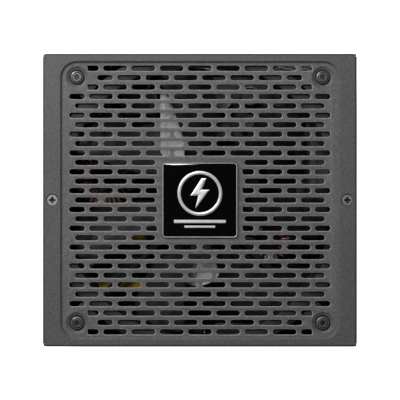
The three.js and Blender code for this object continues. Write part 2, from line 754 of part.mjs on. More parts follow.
place('main_board', drilledSheet(71, -57, 66, BOARD_Z, BOARD_Z + BOARD_THICK, 1.9), solderMask);
place('insulating_sheet', drilledSheet(72, -66, 67, 3, 3.5, 3.4), film);

// ---- parts on the main board ----
function canCapacitor(radius, height) {
  return turned([
    [0, 0], [radius * 0.94, 0], [radius * 0.94, 1], [radius, 1.8], [radius, height - 1.5],
    [radius * 0.94, height], [0, height],
  ], 16);
}

function toroid(radius, thick, tall) {
  const inner = radius - thick;
  const c = Math.min(thick, tall) * 0.28;
  return turned([
    [inner, c], [inner + c, 0], [radius - c, 0], [radius, c],
    [radius, tall - c], [radius - c, tall], [inner + c, tall], [inner, tall - c], [inner, c],
  ], 16);
}

function ferriteTransformer(wide, deep, tall) {
  const core = block(-wide * 0.5, wide * 0.5, -deep * 0.26, deep * 0.26, 0, tall);
  const winding = prismZ(roundedRectangle(wide * 0.38, deep * 0.5, deep * 0.16, 3), 2, tall * 0.82);
  return join(core, winding);
}

function finnedSink(length, thick, tall, fins, finDeep) {
  const outline = [[0, 0], [thick, 0]];
  const step = tall / fins;
  for (let i = 0; i < fins; i += 1) {
    const z = i * step;
    outline.push([thick, z + step * 0.45], [thick + finDeep, z + step * 0.45]);
    outline.push([thick + finDeep, z + step * 0.75], [thick, z + step * 0.75]);
  }
  outline.push([thick, tall], [0, tall]);
  return prismY(polygon(outline), -length / 2, length / 2);
}

const onBoard = new THREE.Group();
onBoard.position.z = ON_BOARD;
unit.add(onBoard);

function mountPart(name, geometry, material, x, y, z = 0) {
  place(name, geometry, material, onBoard).position.set(x, y, z);
}

mountPart('bulk_capacitor', canCapacitor(15, 42), sleeve, -1.5, -29.5);
mountPart('main_transformer', ferriteTransformer(38, 34, 40), tape, -42, -31);
mountPart('pfc_choke', toroid(16, 8.5, 15), copper, -50, 12);
mountPart('line_choke', toroid(11, 5.5, 13), copper, -57, 39.5);
mountPart('x_capacitor', block(-9, 9, -5.5, 5.5, 0, 20), greyBox, -32, 50.5);
mountPart('heatsink_primary', finnedSink(34, 3, 40, 6, 9), aluminium, -20, 38);
mountPart('bridge_rectifier', block(-2, 2, -14, 14, 0, 20), blackPlastic, -22.5, 26);
mountPart('power_transistor_1', block(-2.4, 2.4, -8, 8, 0, 21), blackPlastic, 52.7, 4);
mountPart('power_transistor_2', block(-2.4, 2.4, -8, 8, 0, 21), blackPlastic, 52.7, 26);
mountPart('heatsink_secondary', finnedSink(52, 3, 42, 6, 7), aluminium, 55.6, 14);
mountPart('standby_transformer', ferriteTransformer(22, 20, 20), tape, 24, 12);
mountPart('output_choke', toroid(12, 6, 13), copper, 36, -22);
[[12, 36], [26, 40], [12, 52], [26, 54]].forEach(([x, y], i) => {
  mountPart(`output_capacitor_${i + 1}`, canCapacitor(5, 24), sleeve, x, y);
});

// ---- fan lead: from the motor base, along an arm, down beside the fan to the board ----
class Route extends THREE.Curve {
  constructor(points) {
    super();
    this.spline = new THREE.CatmullRomCurve3(points, false, 'centripetal');
  }

  getPoint(t, target = new THREE.Vector3()) {
    return this.spline.getPointAt(t, target);
  }
}

const LEAD_ROUTE = [
  [14, -10, fanBottom - 2], [20, -18, fanBottom - 2.2], [34, -34, fanBottom - 2.4],
  [45, -44, fanBottom - 5], [48, -48, 44], [48, -49, 30], [48, -49, 18], [48, -49, ON_BOARD],
].map(([x, y, z]) => new THREE.Vector3(x, y, z));

const lead = new THREE.ExtrudeGeometry(regular(6, 1), { extrudePath: new Route(LEAD_ROUTE), steps: 18 });
place('fan_lead', lead, blackPlastic);

// ---- the whole box on the origin: as much proud of the rear as is taken off the middle ----
const PROUD = ROCKER_R * Math.sin(Math.atan2(ROCKER_TIP[1], ROCKER_TIP[0])
  + THREE.MathUtils.degToRad(ROCKER_TILT)) - BEZEL_OUT + BEZEL_FACE - HALF_D;
unit.position.y = -PROUD / 2;
const powerSupply = new THREE.Group();
powerSupply.add(unit);

export default powerSupply;
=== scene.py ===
"""A fully modular ATX power supply, seen from straight above its fan lid."""

import math

import bmesh
import bpy
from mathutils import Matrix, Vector
from mathutils.geometry import tessellate_polygon


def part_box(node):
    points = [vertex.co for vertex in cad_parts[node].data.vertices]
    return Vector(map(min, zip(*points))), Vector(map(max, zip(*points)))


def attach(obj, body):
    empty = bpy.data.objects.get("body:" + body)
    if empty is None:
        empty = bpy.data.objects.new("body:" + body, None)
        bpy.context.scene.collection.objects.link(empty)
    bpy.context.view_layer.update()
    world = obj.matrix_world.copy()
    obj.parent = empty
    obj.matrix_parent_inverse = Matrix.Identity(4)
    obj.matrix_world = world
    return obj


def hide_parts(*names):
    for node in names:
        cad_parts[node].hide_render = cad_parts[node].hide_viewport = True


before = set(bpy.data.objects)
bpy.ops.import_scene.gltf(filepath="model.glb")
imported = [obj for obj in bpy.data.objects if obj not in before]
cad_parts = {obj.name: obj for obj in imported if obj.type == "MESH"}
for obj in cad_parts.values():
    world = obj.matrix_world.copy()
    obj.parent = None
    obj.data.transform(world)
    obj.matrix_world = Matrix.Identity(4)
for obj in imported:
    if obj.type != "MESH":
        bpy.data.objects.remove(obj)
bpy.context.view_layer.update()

# ---- measures, in millimetres from the middle of the housing's base ----
M = 0.001
LID_LO, LID_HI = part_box("lid")
MIDDLE = Vector(((LID_LO.x + LID_HI.x) / 2, (LID_LO.y + LID_HI.y) / 2, 0))
HALF_W = (LID_HI.x - LID_LO.x) / 2 / M
HALF_D = (LID_HI.y - LID_LO.y) / 2 / M
HEIGHT = LID_HI.z / M
SHEET = 1.0
RECESS_DEPTH = 1.0
RECESS_Z = HEIGHT - RECESS_DEPTH
RECESS_HALF = (66.3, 66.0)
RECESS_CORNER = 7.5
SCREW_AT = 58.75
CORNERS = [(-1, -1), (1, -1), (-1, 1), (1, 1)]


def cad(node):
    """A CAD node's lowest and highest corners, in millimetres from the middle of the housing's base."""
    lo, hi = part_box(node)
    return (lo - MIDDLE) / M, (hi - MIDDLE) / M


def placed(node):
    """A CAD node's middle x, y and z, then its size along each."""
    low, high = cad(node)
    return [(a + b) / 2 for a, b in zip(low, high)] + [b - a for a, b in zip(low, high)]


# ---- camera: straight down, with a long lens ----
FIELD = 190.8
LENS = 110.0
SENSOR = 36.0
AIM = (0.07, 0.05)


def make_camera():
    data = bpy.data.cameras.new("camera")
    data.lens = LENS
    data.sensor_width = SENSOR
    camera = bpy.data.objects.new("camera", data)
    distance = FIELD * LENS / SENSOR
    camera.location = MIDDLE + Vector((*AIM, HEIGHT + distance)) * M
    bpy.context.scene.collection.objects.link(camera)
    bpy.context.scene.camera = camera


make_camera()


# ---- outlines: lists of (x, y), anticlockwise ----
def arc(cx, cy, radius, start, end, steps):
    """Points on an arc, both ends included, angles in degrees."""
    turn = [math.radians(start + (end - start) * i / steps) for i in range(steps + 1)]
    return [(cx + radius * math.cos(a), cy + radius * math.sin(a)) for a in turn]


def quarter(steps):
    """Angles over a quarter turn, in radians, both ends included."""
    return [math.pi / 2 * i / steps for i in range(steps + 1)]


def rounded(half_x, half_y, radius, steps=6, x=0.0, y=0.0):
    """A rectangle about x, y with rounded corners."""
    points = []
    for corner, (sx, sy) in enumerate([(1, 1), (-1, 1), (-1, -1), (1, -1)]):
        cx, cy = x + sx * (half_x - radius), y + sy * (half_y - radius)
        points += arc(cx, cy, radius, corner * 90, corner * 90 + 90, steps)
    return points


def circle(radius, steps, x=0.0, y=0.0):
    return arc(x, y, radius, 0, 360, steps)[:-1]


def offset(loop, distance):
    """The closed loop moved outward by distance, each point along its mitre."""
    moved = []
    for i, (x, y) in enumerate(loop):
        before = Vector((x, y)) - Vector(loop[i - 1])
        after = Vector(loop[(i + 1) % len(loop)]) - Vector((x, y))
        before.normalize()
        after.normalize()
        normal = Vector((before.y + after.y, -before.x - after.x))
        normal.normalize()
        mitre = max(0.5, normal.dot(Vector((after.y, -after.x))))
        moved.append((x + normal.x * distance / mitre, y + normal.y * distance / mitre))
    return moved


# ---- mesh building ----
def upright(x, y, z):
    return (x, y, z)


def facing_rear(x, y, z):
    """Outline x, y lie in the rear or front panel's plane; z runs along +Y."""
    return (x, z, y)


class Build:
    """Gathers vertices in millimetres and faces, some of them flat-shaded, in one mesh."""

    def __init__(self, turn=upright):
        self.turn = turn
        self.verts = []
        self.plans = []
        self.faces = []
        self.flat = []
        self.slots = []
        self.slot = 0

    def ring(self, points, z=None):
        first = len(self.verts)
        for p in points:
            self.verts.append(self.turn(p[0], p[1], p[2] if z is None else z))
            self.plans.append((p[0], p[1]))
        return list(range(first, len(self.verts)))

    def face(self, corners, flat):
        self.faces.append(corners)
        self.flat.append(flat)
        self.slots.append(self.slot)

    def bridge(self, a, b, flat=False):
        for i in range(len(a)):
            j = (i + 1) % len(a)
            self.face([a[i], a[j], b[j], b[i]], flat)

    def loft(self, rings, second_from=None):
        """Rings of equal length, joined one to the next, with a flat face on each end.
        From ring number second_from on, the faces take the second material."""
        made = [self.ring(r) for r in rings]
        self.face(list(reversed(made[0])), True)
        first_slot = self.slot
        for count, (a, b) in enumerate(zip(made, made[1:])):
            if count == second_from:
                self.slot = 1
            self.bridge(a, b)
        self.face(made[-1], True)
        self.slot = first_slot

    def slab(self, outer, holes, bottom, top, edge=0.0, hole_edge=0.0, plain_holes=(), steps=3,
             edge_slot=None):
        """A plate with holes; edge and hole_edge round the outline and the holes, but not plain_holes.
        The upper rounded edges of the holes take the material in edge_slot, where it is given."""
        loops = [(outer, edge, self.slot)]
        loops += [(h[::-1], hole_edge, self.slot if edge_slot is None else edge_slot) for h in holes]
        loops += [(h[::-1], 0.0, self.slot) for h in plain_holes]
        plain_slot = self.slot
        uppers, lowers = [], []
        for loop, size, rounded_slot in loops:
            profile = [(1 - math.sin(a), 1 - math.cos(a)) for a in quarter(steps)] if size else [(1, 0)]
            rings = [self.ring(offset(loop, -size * move), top - drop * size) for move, drop in profile]
            for move, drop in reversed(profile):
                rings.append(self.ring(offset(loop, -size * move), bottom + drop * size))
            for count, (a, b) in enumerate(zip(rings, rings[1:])):
                self.slot = rounded_slot if count < len(profile) - 1 else plain_slot
                self.bridge(b, a)
            self.slot = plain_slot
            uppers.append(rings[0])
            lowers.append(rings[-1])
        self.fill(uppers, True)
        self.fill(lowers, False)

    def fill(self, loops, upper):
        """Flat triangles inside the first loop and outside the others."""
        flat_index = [i for loop in loops for i in loop]
        points = [[Vector((*self.plans[i], 0)) for i in loop] for loop in loops]
        for triangle in tessellate_polygon(points):
            corners = [flat_index[i] for i in triangle]
            a, b, c = (Vector(self.plans[i]) for i in corners)
            ahead = (b - a).cross(c - a) > 0
            self.face(corners if ahead == upper else corners[::-1], True)

    def faceted(self, outline, low, high, inset):
        """A raised mark whose sides slope in to a flat top."""
        rings = [self.ring(outline, low), self.ring(outline, low + 0.08)]
        rings.append(self.ring(offset(outline, -inset), high))
        for a, b in zip(rings, rings[1:]):
            self.bridge(a, b, flat=True)
        self.fill([rings[0]], False)
        self.fill([rings[-1]], True)

    def sweep(self, path, profile):
        """A closed profile of (outward, z) points carried round a closed path."""
        steps = [offset(path, d) for d, _ in profile]
        rings = []
        for i in range(len(path)):
            rings.append(self.ring([(*steps[k][i], profile[k][1]) for k in range(len(profile))]))
        for i, ring in enumerate(rings):
            self.bridge(ring, rings[(i + 1) % len(rings)])

    def turned(self, profile, steps, x=0.0, y=0.0, second_from=None):
        """Profile points are (radius, z) from the bottom up; a radius may be a function of the angle."""
        angles = [2 * math.pi * i / steps for i in range(steps)]
        rings = []
        for radius, z in profile:
            sized = [radius(a) if callable(radius) else radius for a in angles]
            rings.append([(x + r * math.cos(a), y + r * math.sin(a), z) for a, r in zip(angles, sized)])
        self.loft(rings, second_from)

    def strip(self, start, end, outward, profile):
        """A closed profile of (outward, z) points carried straight from start to end."""
        across, along = outward
        self.loft([[(x + across * d, y + along * d, z) for d, z in profile] for x, y in (start, end)])

    def prism(self, outline, bottom, top):
        self.loft([[(*p, bottom) for p in outline], [(*p, top) for p in outline]])

    def done(self, name, body, materials, replaces, sharp=35.0):
        """Makes the object, turns its faces outward and says what it rides on and stands for."""
        mesh = bpy.data.meshes.new(name)
        mesh.from_pydata([tuple(c * M for c in v) for v in self.verts], [], self.faces)
        mesh.update()
        materials = materials if isinstance(materials, (list, tuple)) else [materials]
        for material in materials:
            mesh.materials.append(material)
        for polygon, flat, index in zip(mesh.polygons, self.flat, self.slots):
            polygon.use_smooth = not flat
            polygon.material_index = index
        outward = bmesh.new()
        outward.from_mesh(mesh)
        bmesh.ops.recalc_face_normals(outward, faces=outward.faces)
        outward.to_mesh(mesh)
        outward.free()
        mesh.set_sharp_from_angle(angle=math.radians(sharp))
        piece = bpy.data.objects.new(name, mesh)
        piece.location = MIDDLE
        bpy.context.scene.collection.objects.link(piece)
        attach(piece, body)
        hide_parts(*replaces)


# ---- materials ----
# The colour mix node's sockets: first colour, second colour and result.
MIX_A, MIX_B, MIXED = 6, 7, 2


class Paint:
    """A Principled material whose nodes are added by short calls; textures use object coordinates."""

    def __init__(self, name, color, roughness, metallic=0.0, specular=0.5):
        self.material = bpy.data.materials.new(name)
        self.material.use_nodes = True
        self.tree = self.material.node_tree
        self.shader = self.tree.nodes["Principled BSDF"]
        self.color = (*color, 1.0)
        self.shader.inputs["Base Color"].default_value = self.color
        self.shader.inputs["Roughness"].default_value = roughness
        self.shader.inputs["Metallic"].default_value = metallic
        self.shader.inputs["Specular IOR Level"].default_value = specular
        self.roughness = roughness
        self.place = self.node("ShaderNodeTexCoord").outputs["Object"]
        self.height = None

    def node(self, kind, **values):
        made = self.tree.nodes.new(kind)
        for key, value in values.items():
            setattr(made, key, value)
        return made

    def link(self, source, target):
        self.tree.links.new(source, target)

    def noise(self, size_mm, detail=3.0, stretch=(1, 1, 1)):
        """Noise whose grains are about size_mm across."""
        mapping = self.node("ShaderNodeMapping")
        mapping.inputs["Scale"].default_value = stretch
        self.link(self.place, mapping.inputs["Vector"])
        made = self.node("ShaderNodeTexNoise")
        made.inputs["Scale"].default_value = 1 / (size_mm * M)
        made.inputs["Detail"].default_value = detail
        self.link(mapping.outputs["Vector"], made.inputs["Vector"])
        return made.outputs["Fac"]

    def spread(self, source, low, high, start=0.3, end=0.7):
        """Maps the source from start..end to low..high."""
        made = self.node("ShaderNodeMapRange")
        made.inputs["From Min"].default_value = start
        made.inputs["From Max"].default_value = end
        made.inputs["To Min"].default_value = low
        made.inputs["To Max"].default_value = high
        self.link(source, made.inputs["Value"])
        return made.outputs["Result"]

    def tint(self, source, color, amount):
        """Mixes color into the base colour where the source is high."""
        made = self.node("ShaderNodeMix", data_type="RGBA")
        target = self.shader.inputs["Base Color"]
        if target.is_linked:
            self.link(target.links[0].from_socket, made.inputs[MIX_A])
        else:
            made.inputs[MIX_A].default_value = self.color
        made.inputs[MIX_B].default_value = (*color, 1.0)
        scaled = self.node("ShaderNodeMath", operation="MULTIPLY")
        scaled.inputs[1].default_value = amount
        self.link(source, scaled.inputs[0])
        self.link(scaled.outputs[0], made.inputs[0])
        self.link(made.outputs[MIXED], target)

    def rough(self, source, change):
        """Lets the source move the roughness up and down by change."""
        self.link(
            self.spread(source, self.roughness - change, self.roughness + change),
            self.shader.inputs["Roughness"],
        )

    def bump(self, source, depth_mm, strength):
        made = self.node("ShaderNodeBump")
        made.inputs["Distance"].default_value = depth_mm * M
        made.inputs["Strength"].default_value = strength
        self.link(source, made.inputs["Height"])
        if self.height:
            self.link(self.height, made.inputs["Normal"])
        self.height = made.outputs["Normal"]
        self.link(self.height, self.shader.inputs["Normal"])


def powder_coat(name, color):
    """Fine-textured powder coat: pale specks, orange peel and slow changes of tone."""
    paint = Paint(name, color, 0.56, 0.0, 0.4)
    grain = paint.noise(0.42, 2.0)
    peel = paint.noise(1.3, 2.0)
    cloud = paint.noise(30.0, 3.0)
    paint.tint(paint.spread(cloud, 0.0, 1.0), tuple(c * 1.22 for c in color), 0.7)
    paint.tint(paint.spread(peel, 0.0, 1.0, 0.4, 0.65), tuple(c * 0.68 for c in color), 0.6)
    paint.tint(paint.spread(grain, 0.0, 1.0, 0.48, 0.68), tuple(c * 2.2 for c in color), 0.75)
    paint.rough(grain, 0.12)
    paint.bump(peel, 0.06, 0.6)
    paint.bump(grain, 0.06, 1.0)
    return paint.material


def steel(name, color, roughness, size_mm=0.25, stretch=(1, 1, 1), metallic=1.0):
    paint = Paint(name, color, roughness, metallic)
    streak = paint.noise(size_mm, 4.0, stretch)
    stain = paint.noise(2.5, 3.0)
    paint.tint(paint.spread(stain, 0.0, 1.0), tuple(c * 0.72 for c in color), 0.5)
    paint.rough(streak, 0.10)
    paint.bump(streak, 0.01, 0.6)
    return paint.material


def plastic(name, color, roughness, grain_mm=0.35, depth_mm=0.02, specular=0.5):
    paint = Paint(name, color, roughness, 0.0, specular)
    grain = paint.noise(grain_mm, 3.0)
    cloud = paint.noise(14.0, 2.0)
    paint.tint(paint.spread(cloud, 0.0, 1.0), tuple(min(1.0, c * 1.5 + 0.004) for c in color), 0.5)
    paint.rough(grain, 0.07)
    paint.bump(grain, depth_mm, 0.7)
    return paint.material


def gloss_black():
    paint = Paint("badge_gloss", (0.002, 0.0018, 0.002), 0.06, 0.0, 0.4)
    paint.shader.inputs["Coat Weight"].default_value = 0.6
    paint.shader.inputs["Coat Roughness"].default_value = 0.03
    paint.rough(paint.noise(3.0, 2.0), 0.02)
    paint.bump(paint.noise(9.0, 1.0), 0.01, 0.2)
    return paint.material


def circuit_board(name, color):
    """Solder mask over a faint pattern of tracks."""
    paint = Paint(name, color, 0.35, 0.0, 0.5)
    weave = paint.noise(0.6, 2.0)
    tracks = paint.node("ShaderNodeTexVoronoi", feature="DISTANCE_TO_EDGE", distance="CHEBYCHEV")
    tracks.inputs["Scale"].default_value = 260
    paint.link(paint.place, tracks.inputs["Vector"])
    copper = paint.spread(tracks.outputs["Distance"], 1.0, 0.0, 0.02, 0.06)
    paint.tint(copper, tuple(c * 1.9 for c in color), 0.8)
    paint.rough(weave, 0.08)
    paint.bump(weave, 0.01, 0.6)
    return paint.material


def wound_copper():
    """Enamelled wire: a soft metal under a clear coat."""
    paint = Paint("enamelled_copper", (0.95, 0.50, 0.36), 0.3, 0.25)
    streak = paint.noise(1.2, 3.0)
    paint.tint(paint.spread(streak, 0.0, 1.0), (0.70, 0.30, 0.19), 0.6)
    paint.rough(streak, 0.08)
    paint.shader.inputs["Coat Weight"].default_value = 0.4
    return paint.material


def yellow_tape():
    """Layers of tape, whose edges show as bands."""
    paint = Paint("polyester_tape", (0.98, 0.62, 0.10), 0.32)
    wrap = paint.node("ShaderNodeTexWave", bands_direction="Z")
    wrap.inputs["Scale"].default_value = 60
    wrap.inputs["Distortion"].default_value = 1.5
    paint.link(paint.place, wrap.inputs["Vector"])
    paint.tint(paint.spread(wrap.outputs["Fac"], 0.0, 1.0), (0.55, 0.27, 0.02), 0.6)
    paint.bump(wrap.outputs["Fac"], 0.08, 0.5)
    paint.rough(paint.noise(0.8), 0.08)
    return paint.material


COAT = powder_coat("powder_coat", (0.066, 0.0645, 0.065))
# A lighter copy of the same coat for the slotted panel, which is one sheet with the border: painted light.
COAT_PANEL_LIT = powder_coat("powder_coat_panel_painted_light", (0.082, 0.080, 0.081))
# A much lighter copy of the coat for the rounded rims of the grille's slots: a painted highlight where the
# rims catch the light.
COAT_RIM_HIGHLIGHT = powder_coat("powder_coat_painted_rim_highlight", (0.19, 0.187, 0.188))
# A much darker copy of the coat for the faces round the lid's bends: painted shade along the bent edges.
COAT_BEND_SHADE = powder_coat("powder_coat_painted_bend_shade", (0.030, 0.029, 0.030))
SCREW_STEEL = steel("nickel_steel", (0.36, 0.355, 0.35), 0.42)
DARK_STEEL = steel("dark_zinc", (0.13, 0.128, 0.13), 0.36, metallic=0.5)
# A near-black copy of the steel for the walls of sockets, grooves and cross recesses: painted shade in the
# hollows.
RECESS_SHADE_STEEL = steel("painted_recess_shade", (0.05, 0.05, 0.052), 0.5)
SILVER = steel("bright_trim", (0.86, 0.87, 0.88), 0.36, 0.3, (1, 12, 1), 0.7)
GLOSS = gloss_black()
BLACK = plastic("black_nylon", (0.018, 0.018, 0.019), 0.42)
ROCKER = plastic("rocker_plastic", (0.012, 0.012, 0.013), 0.28, 0.5, 0.01)
FAN = plastic("fan_plastic", (0.028, 0.028, 0.029), 0.5, 0.5, 0.015, 0.35)
FAN_BLADES = plastic("blade_plastic", (0.026, 0.026, 0.027), 0.56, 0.5, 0.01, 0.3)
COPPER = wound_copper()
# The boards are made black so that they read as dark as the shade under the fan: painted shade.
BLACK_BOARD = circuit_board("black_board", (0.012, 0.013, 0.014))
ALUMINIUM = steel("extruded_aluminium", (0.95, 0.96, 0.97), 0.35, 0.3, (1, 1, 10), 0.2)
# A dark copy of aluminium for the secondary heatsink and the output capacitors' tops, so that they read as
# dark as the shade around them: painted shade.
SHADE_DARK_METAL = steel("aluminium_painted_shade_dark", (0.10, 0.10, 0.105), 0.5, 0.3, (1, 1, 10), 0.5)
FILM = plastic("polyester_film", (0.03, 0.03, 0.034), 0.2, 4.0, 0.02)
FERRITE = plastic("ferrite", (0.045, 0.046, 0.05), 0.6, 0.5, 0.05)
TAPE = yellow_tape()
SLEEVE = plastic("capacitor_sleeve", (0.012, 0.014, 0.035), 0.3, 1.5, 0.01)
GREY_CASE = plastic("grey_case", (0.30, 0.31, 0.30), 0.5, 0.5, 0.03)
BRASS = steel("plated_brass", (0.70, 0.55, 0.26), 0.28)
PLATED = steel("nickel_plated_brass", (0.62, 0.60, 0.55), 0.25)
WHITE_NYLON = plastic("white_nylon", (0.62, 0.60, 0.54), 0.45)

# ---- lid ----
SLOT_EDGE = 0.32
ROWS_EACH_WAY = 14
ROW_PITCH = 4.5
SLOT_PITCH = 13.5
SLOT_LENGTH = 11.35
SLOT_WIDTH = 2.6
END_SLOT = (54.95, 62.45)
RAGGED_END = 53.8
SHORT_END = 49.0
BADGE_ROWS = 4
BADGE_SLOT_START = 20.3
BEND = 1.0
BEND_STEPS = 6
SINK_R = 3.1
RIM_HIGHLIGHT_SLOT, LIT_PANEL_SLOT, BEND_SHADE_SLOT = 1, 2, 3
LID_SCREW_X = 70.4
CORNER_NOTCH = 1.5
BOWL_R = 5.4
BOWL_DEPTH = 0.6
HEAD_HOLE_R = 3.7
LIP_DROP = 2.2


def slot_outline(x0, x1, y, square_left=False, square_right=False):
    """A slot from x0 to x1; a square end has small corners and leans a little."""
    half, small, lean = SLOT_WIDTH / 2, 0.45, 0.35
    points = []
    for x, side, square in ((x1, 1, square_right), (x0, -1, square_left)):
        turn = 0 if side > 0 else 180
        if square:
            points += arc(x - side * small, y - side * (half - small), small, turn - 90, turn, 3)
            points += arc(x - side * (small + lean), y + side * (half - small), small, turn, turn + 90, 3)
        else:
            points += arc(x - side * half, y, half, turn - 90, turn + 90, 9)
    return points


def half_row(row):
    """(from, to, inner end square, outer end square) for each slot on the +X side of a row."""
    reach, even = abs(row), row % 2 == 0
    half = SLOT_LENGTH / 2
    first = 1.0 if even else 0.5
    centres = [(first + k) * SLOT_PITCH for k in range(4)]
    spans = [(c - half, c + half, False, False) for c in centres]
    if not even:
        spans.append((*END_SLOT, False, False))
    if reach in (ROWS_EACH_WAY, ROWS_EACH_WAY - 2):
        spans[-1] = (spans[-1][0], RAGGED_END, False, True)
    if reach == ROWS_EACH_WAY - 1:
        spans = spans[:-1]
        spans[-1] = (spans[-1][0], SHORT_END, False, False)
    if reach <= BADGE_ROWS:
        clear = 2 * SLOT_PITCH - half if even else BADGE_SLOT_START
        kept = [s for s in spans if s[1] > clear + 1]
        spans = [(clear, s[1], True, s[3]) if s[0] < clear - 0.01 else s for s in kept]
    return spans


def slot_outlines():
    outlines = []
    for row in range(-ROWS_EACH_WAY, ROWS_EACH_WAY + 1):
        y = row * ROW_PITCH
        for start, end, inner, outer in half_row(row):
            outlines.append(slot_outline(start, end, y, inner, outer))
            outlines.append(slot_outline(-end, -start, y, outer, inner))
        if row % 2 == 0 and abs(row) > BADGE_ROWS:
            outlines.append(slot_outline(-SLOT_LENGTH / 2, SLOT_LENGTH / 2, y))
    return outlines


def bend_profile(drop):
    """A sheet bent down by a quarter turn: outward is 0 at the outer face, z 0 at the top."""
    outer = [(BEND * (math.sin(a) - 1), BEND * (math.cos(a) - 1)) for a in quarter(BEND_STEPS)]
    low = [(-0.25 * (1 - math.cos(a)), -drop - 0.25 * math.sin(a) + 0.25) for a in quarter(2)]
    return outer + low + [(-SHEET, -drop), (-SHEET, -SHEET)]


def bent_edge(lid, start, end, outward, drop):
    """A strip whose faces round the bend, the first after its end face, take a much darker copy of the coat:
    painted shade along the bend.
    """
    first = len(lid.slots) + 1
    lid.strip(start, end, outward, [(d, HEIGHT + z) for d, z in bend_profile(drop)])
    lid.slots[first:first + BEND_STEPS] = [BEND_SHADE_SLOT] * BEND_STEPS


def recess_step():
    """The pressed step from the border down to the panel, with both its corners rounded."""
    round_r = RECESS_DEPTH / 2
    fall = [(round_r - round_r * math.sin(a), round_r * math.cos(a) - round_r) for a in quarter(4)]
    rise = [(round_r * math.cos(a) - round_r, -round_r - round_r * math.sin(a)) for a in quarter(4)]
    return fall + rise[1:] + [(-round_r, -RECESS_DEPTH - SHEET), (round_r, -RECESS_DEPTH - SHEET * 0.6)]


def bowl_section():
    """A screw's dished seat, from its rim in to the hole: (outward, z) from the rim and the panel."""
    slope = [(-1.5 * i / 8, (math.cos(math.pi * i / 8) - 1) / 2 * BOWL_DEPTH) for i in range(9)]
    hole = HEAD_HOLE_R - BOWL_R
    floor = [(hole + 0.12, -BOWL_DEPTH), (hole, -BOWL_DEPTH - 0.12), (hole, -1.8)]
    return slope + floor + [(-1.2, -1.8), (0, -SHEET)]


def make_lid():
    lid = Build()
    wall = rounded(*RECESS_HALF, RECESS_CORNER, 10)
    sinks = [circle(SINK_R, 40, side * LID_SCREW_X, 0) for side in (-1, 1)]
    border = rounded(HALF_W - BEND, HALF_D - BEND, 0.3, 1)
    lid.slab(border, [], HEIGHT - SHEET, HEIGHT, plain_holes=[offset(wall, RECESS_DEPTH / 2), *sinks])
    lid.sweep(wall, [(d, HEIGHT + z) for d, z in recess_step()])
    bowls = [circle(BOWL_R, 48, sx * SCREW_AT, sy * SCREW_AT) for sx, sy in CORNERS]
    # The slotted panel takes the lighter copy of the coat, painted light.
    lid.slot = LIT_PANEL_SLOT
    # The slots' rounded rims take the much lighter copy of the coat, a painted highlight.
    lid.slab(
        offset(wall, -RECESS_DEPTH / 2), slot_outlines(), RECESS_Z - SHEET, RECESS_Z,
        hole_edge=SLOT_EDGE, plain_holes=bowls, edge_slot=RIM_HIGHLIGHT_SLOT,
    )
    lid.slot = 0
    for path in bowls:
        lid.sweep(path, [(d, RECESS_Z + z) for d, z in bowl_section()])
    sink = [(0, 0), (-0.12, -0.1), (-0.75, -0.95), (-0.75, -SHEET), (0, -SHEET)]
    for path in sinks:
        lid.sweep(path, [(d, HEIGHT + z) for d, z in sink])
    side_y, lip_x = HALF_D - CORNER_NOTCH, HALF_W - CORNER_NOTCH
    for sign in (-1, 1):
        side = sign * HALF_W
        bent_edge(lid, (side, -side_y), (side, side_y), (sign, 0), HEIGHT - LID_LO.z / M)
        end = sign * HALF_D
        bent_edge(lid, (-lip_x, end), (lip_x, end), (0, sign), LIP_DROP)
    lid.done("lid_shell", "housing", [COAT, COAT_RIM_HIGHLIGHT, COAT_PANEL_LIT, COAT_BEND_SHADE], ["lid"])


make_lid()

# ---- screws ----
def hexagon(across):
    """The radius of a hexagon, by its size across flats, as a function of the angle."""
    def radius(angle):
        return across / 2 / math.cos((angle + math.pi / 6) % (math.pi / 3) - math.pi / 6)
    return radius


def cross(arm, half_width, grow=0.0):
    """The radius of a cross, as a function of the angle."""
    def radius(angle):
        c, s = abs(math.cos(angle)) + 1e-6, abs(math.sin(angle)) + 1e-6
        long, wide = arm + grow, half_width + grow
        return max(min(long / c, wide / s), min(long / s, wide / c))
    return radius


def button_head(node, x, y, z):
    """A dome head with a ring groove round its hexagon socket; z is the underside of the head."""
    head_r, tall, socket = 3.2, 1.4, 2.5
    skirt = [(1.9, z - 11), (1.9, z), (head_r - 0.1, z), (head_r, z + 0.12)]
    skirt += [(head_r - 0.55 * (1 - math.cos(a)), z + 0.3 + 0.8 * math.sin(a)) for a in quarter(5)]
    skirt += [(2.4, z + 1.22), (2.34, z + 0.7)]
    hub = [(2.02, z + 0.6), (2.02, z + 0.7), (2.0, z + tall - 0.08), (1.92, z + tall)]
    hub += [(hexagon(socket + 0.32), z + tall), (hexagon(socket), z + tall - 0.16)]
    hub += [(hexagon(socket), z + 0.35), (0.4, z + 0.15)]
    screw = Build()
    # The groove's wall and the hexagon socket take the near-black steel: painted shade.
    screw.turned(skirt, 60, x, y, second_from=len(skirt) - 2)
    screw.turned(hub, 60, x, y, second_from=len(hub) - 3)
    screw.done(f"{node}_head", "housing", [DARK_STEEL, RECESS_SHADE_STEEL], [node], sharp=30)


def cross_head(node, x, y, z, head_r, turn=upright, below=1.0):
    """A flat head with a cross recess; z is the top of the head, and it narrows below like a countersink."""
    flare = 0.15
    profile = [
        (1.4, z - 7.5), (1.4, z - below), (head_r - 0.1, z - 0.22), (head_r, z - 0.14), (head_r - 0.12, z),
        (cross(1.4, 0.4, flare), z), (cross(1.4, 0.4), z - 0.12),
        (cross(1.1, 0.3), z - 0.9), (cross(0.5, 0.2), z - 1.1),
    ]
    screw = Build(turn)
    # The cross recess takes the near-black steel: painted shade.
    screw.turned(profile, 96, x, y, second_from=5)
    screw.done(f"{node}_head", "housing", [SCREW_STEEL, RECESS_SHADE_STEEL], [node], sharp=30)


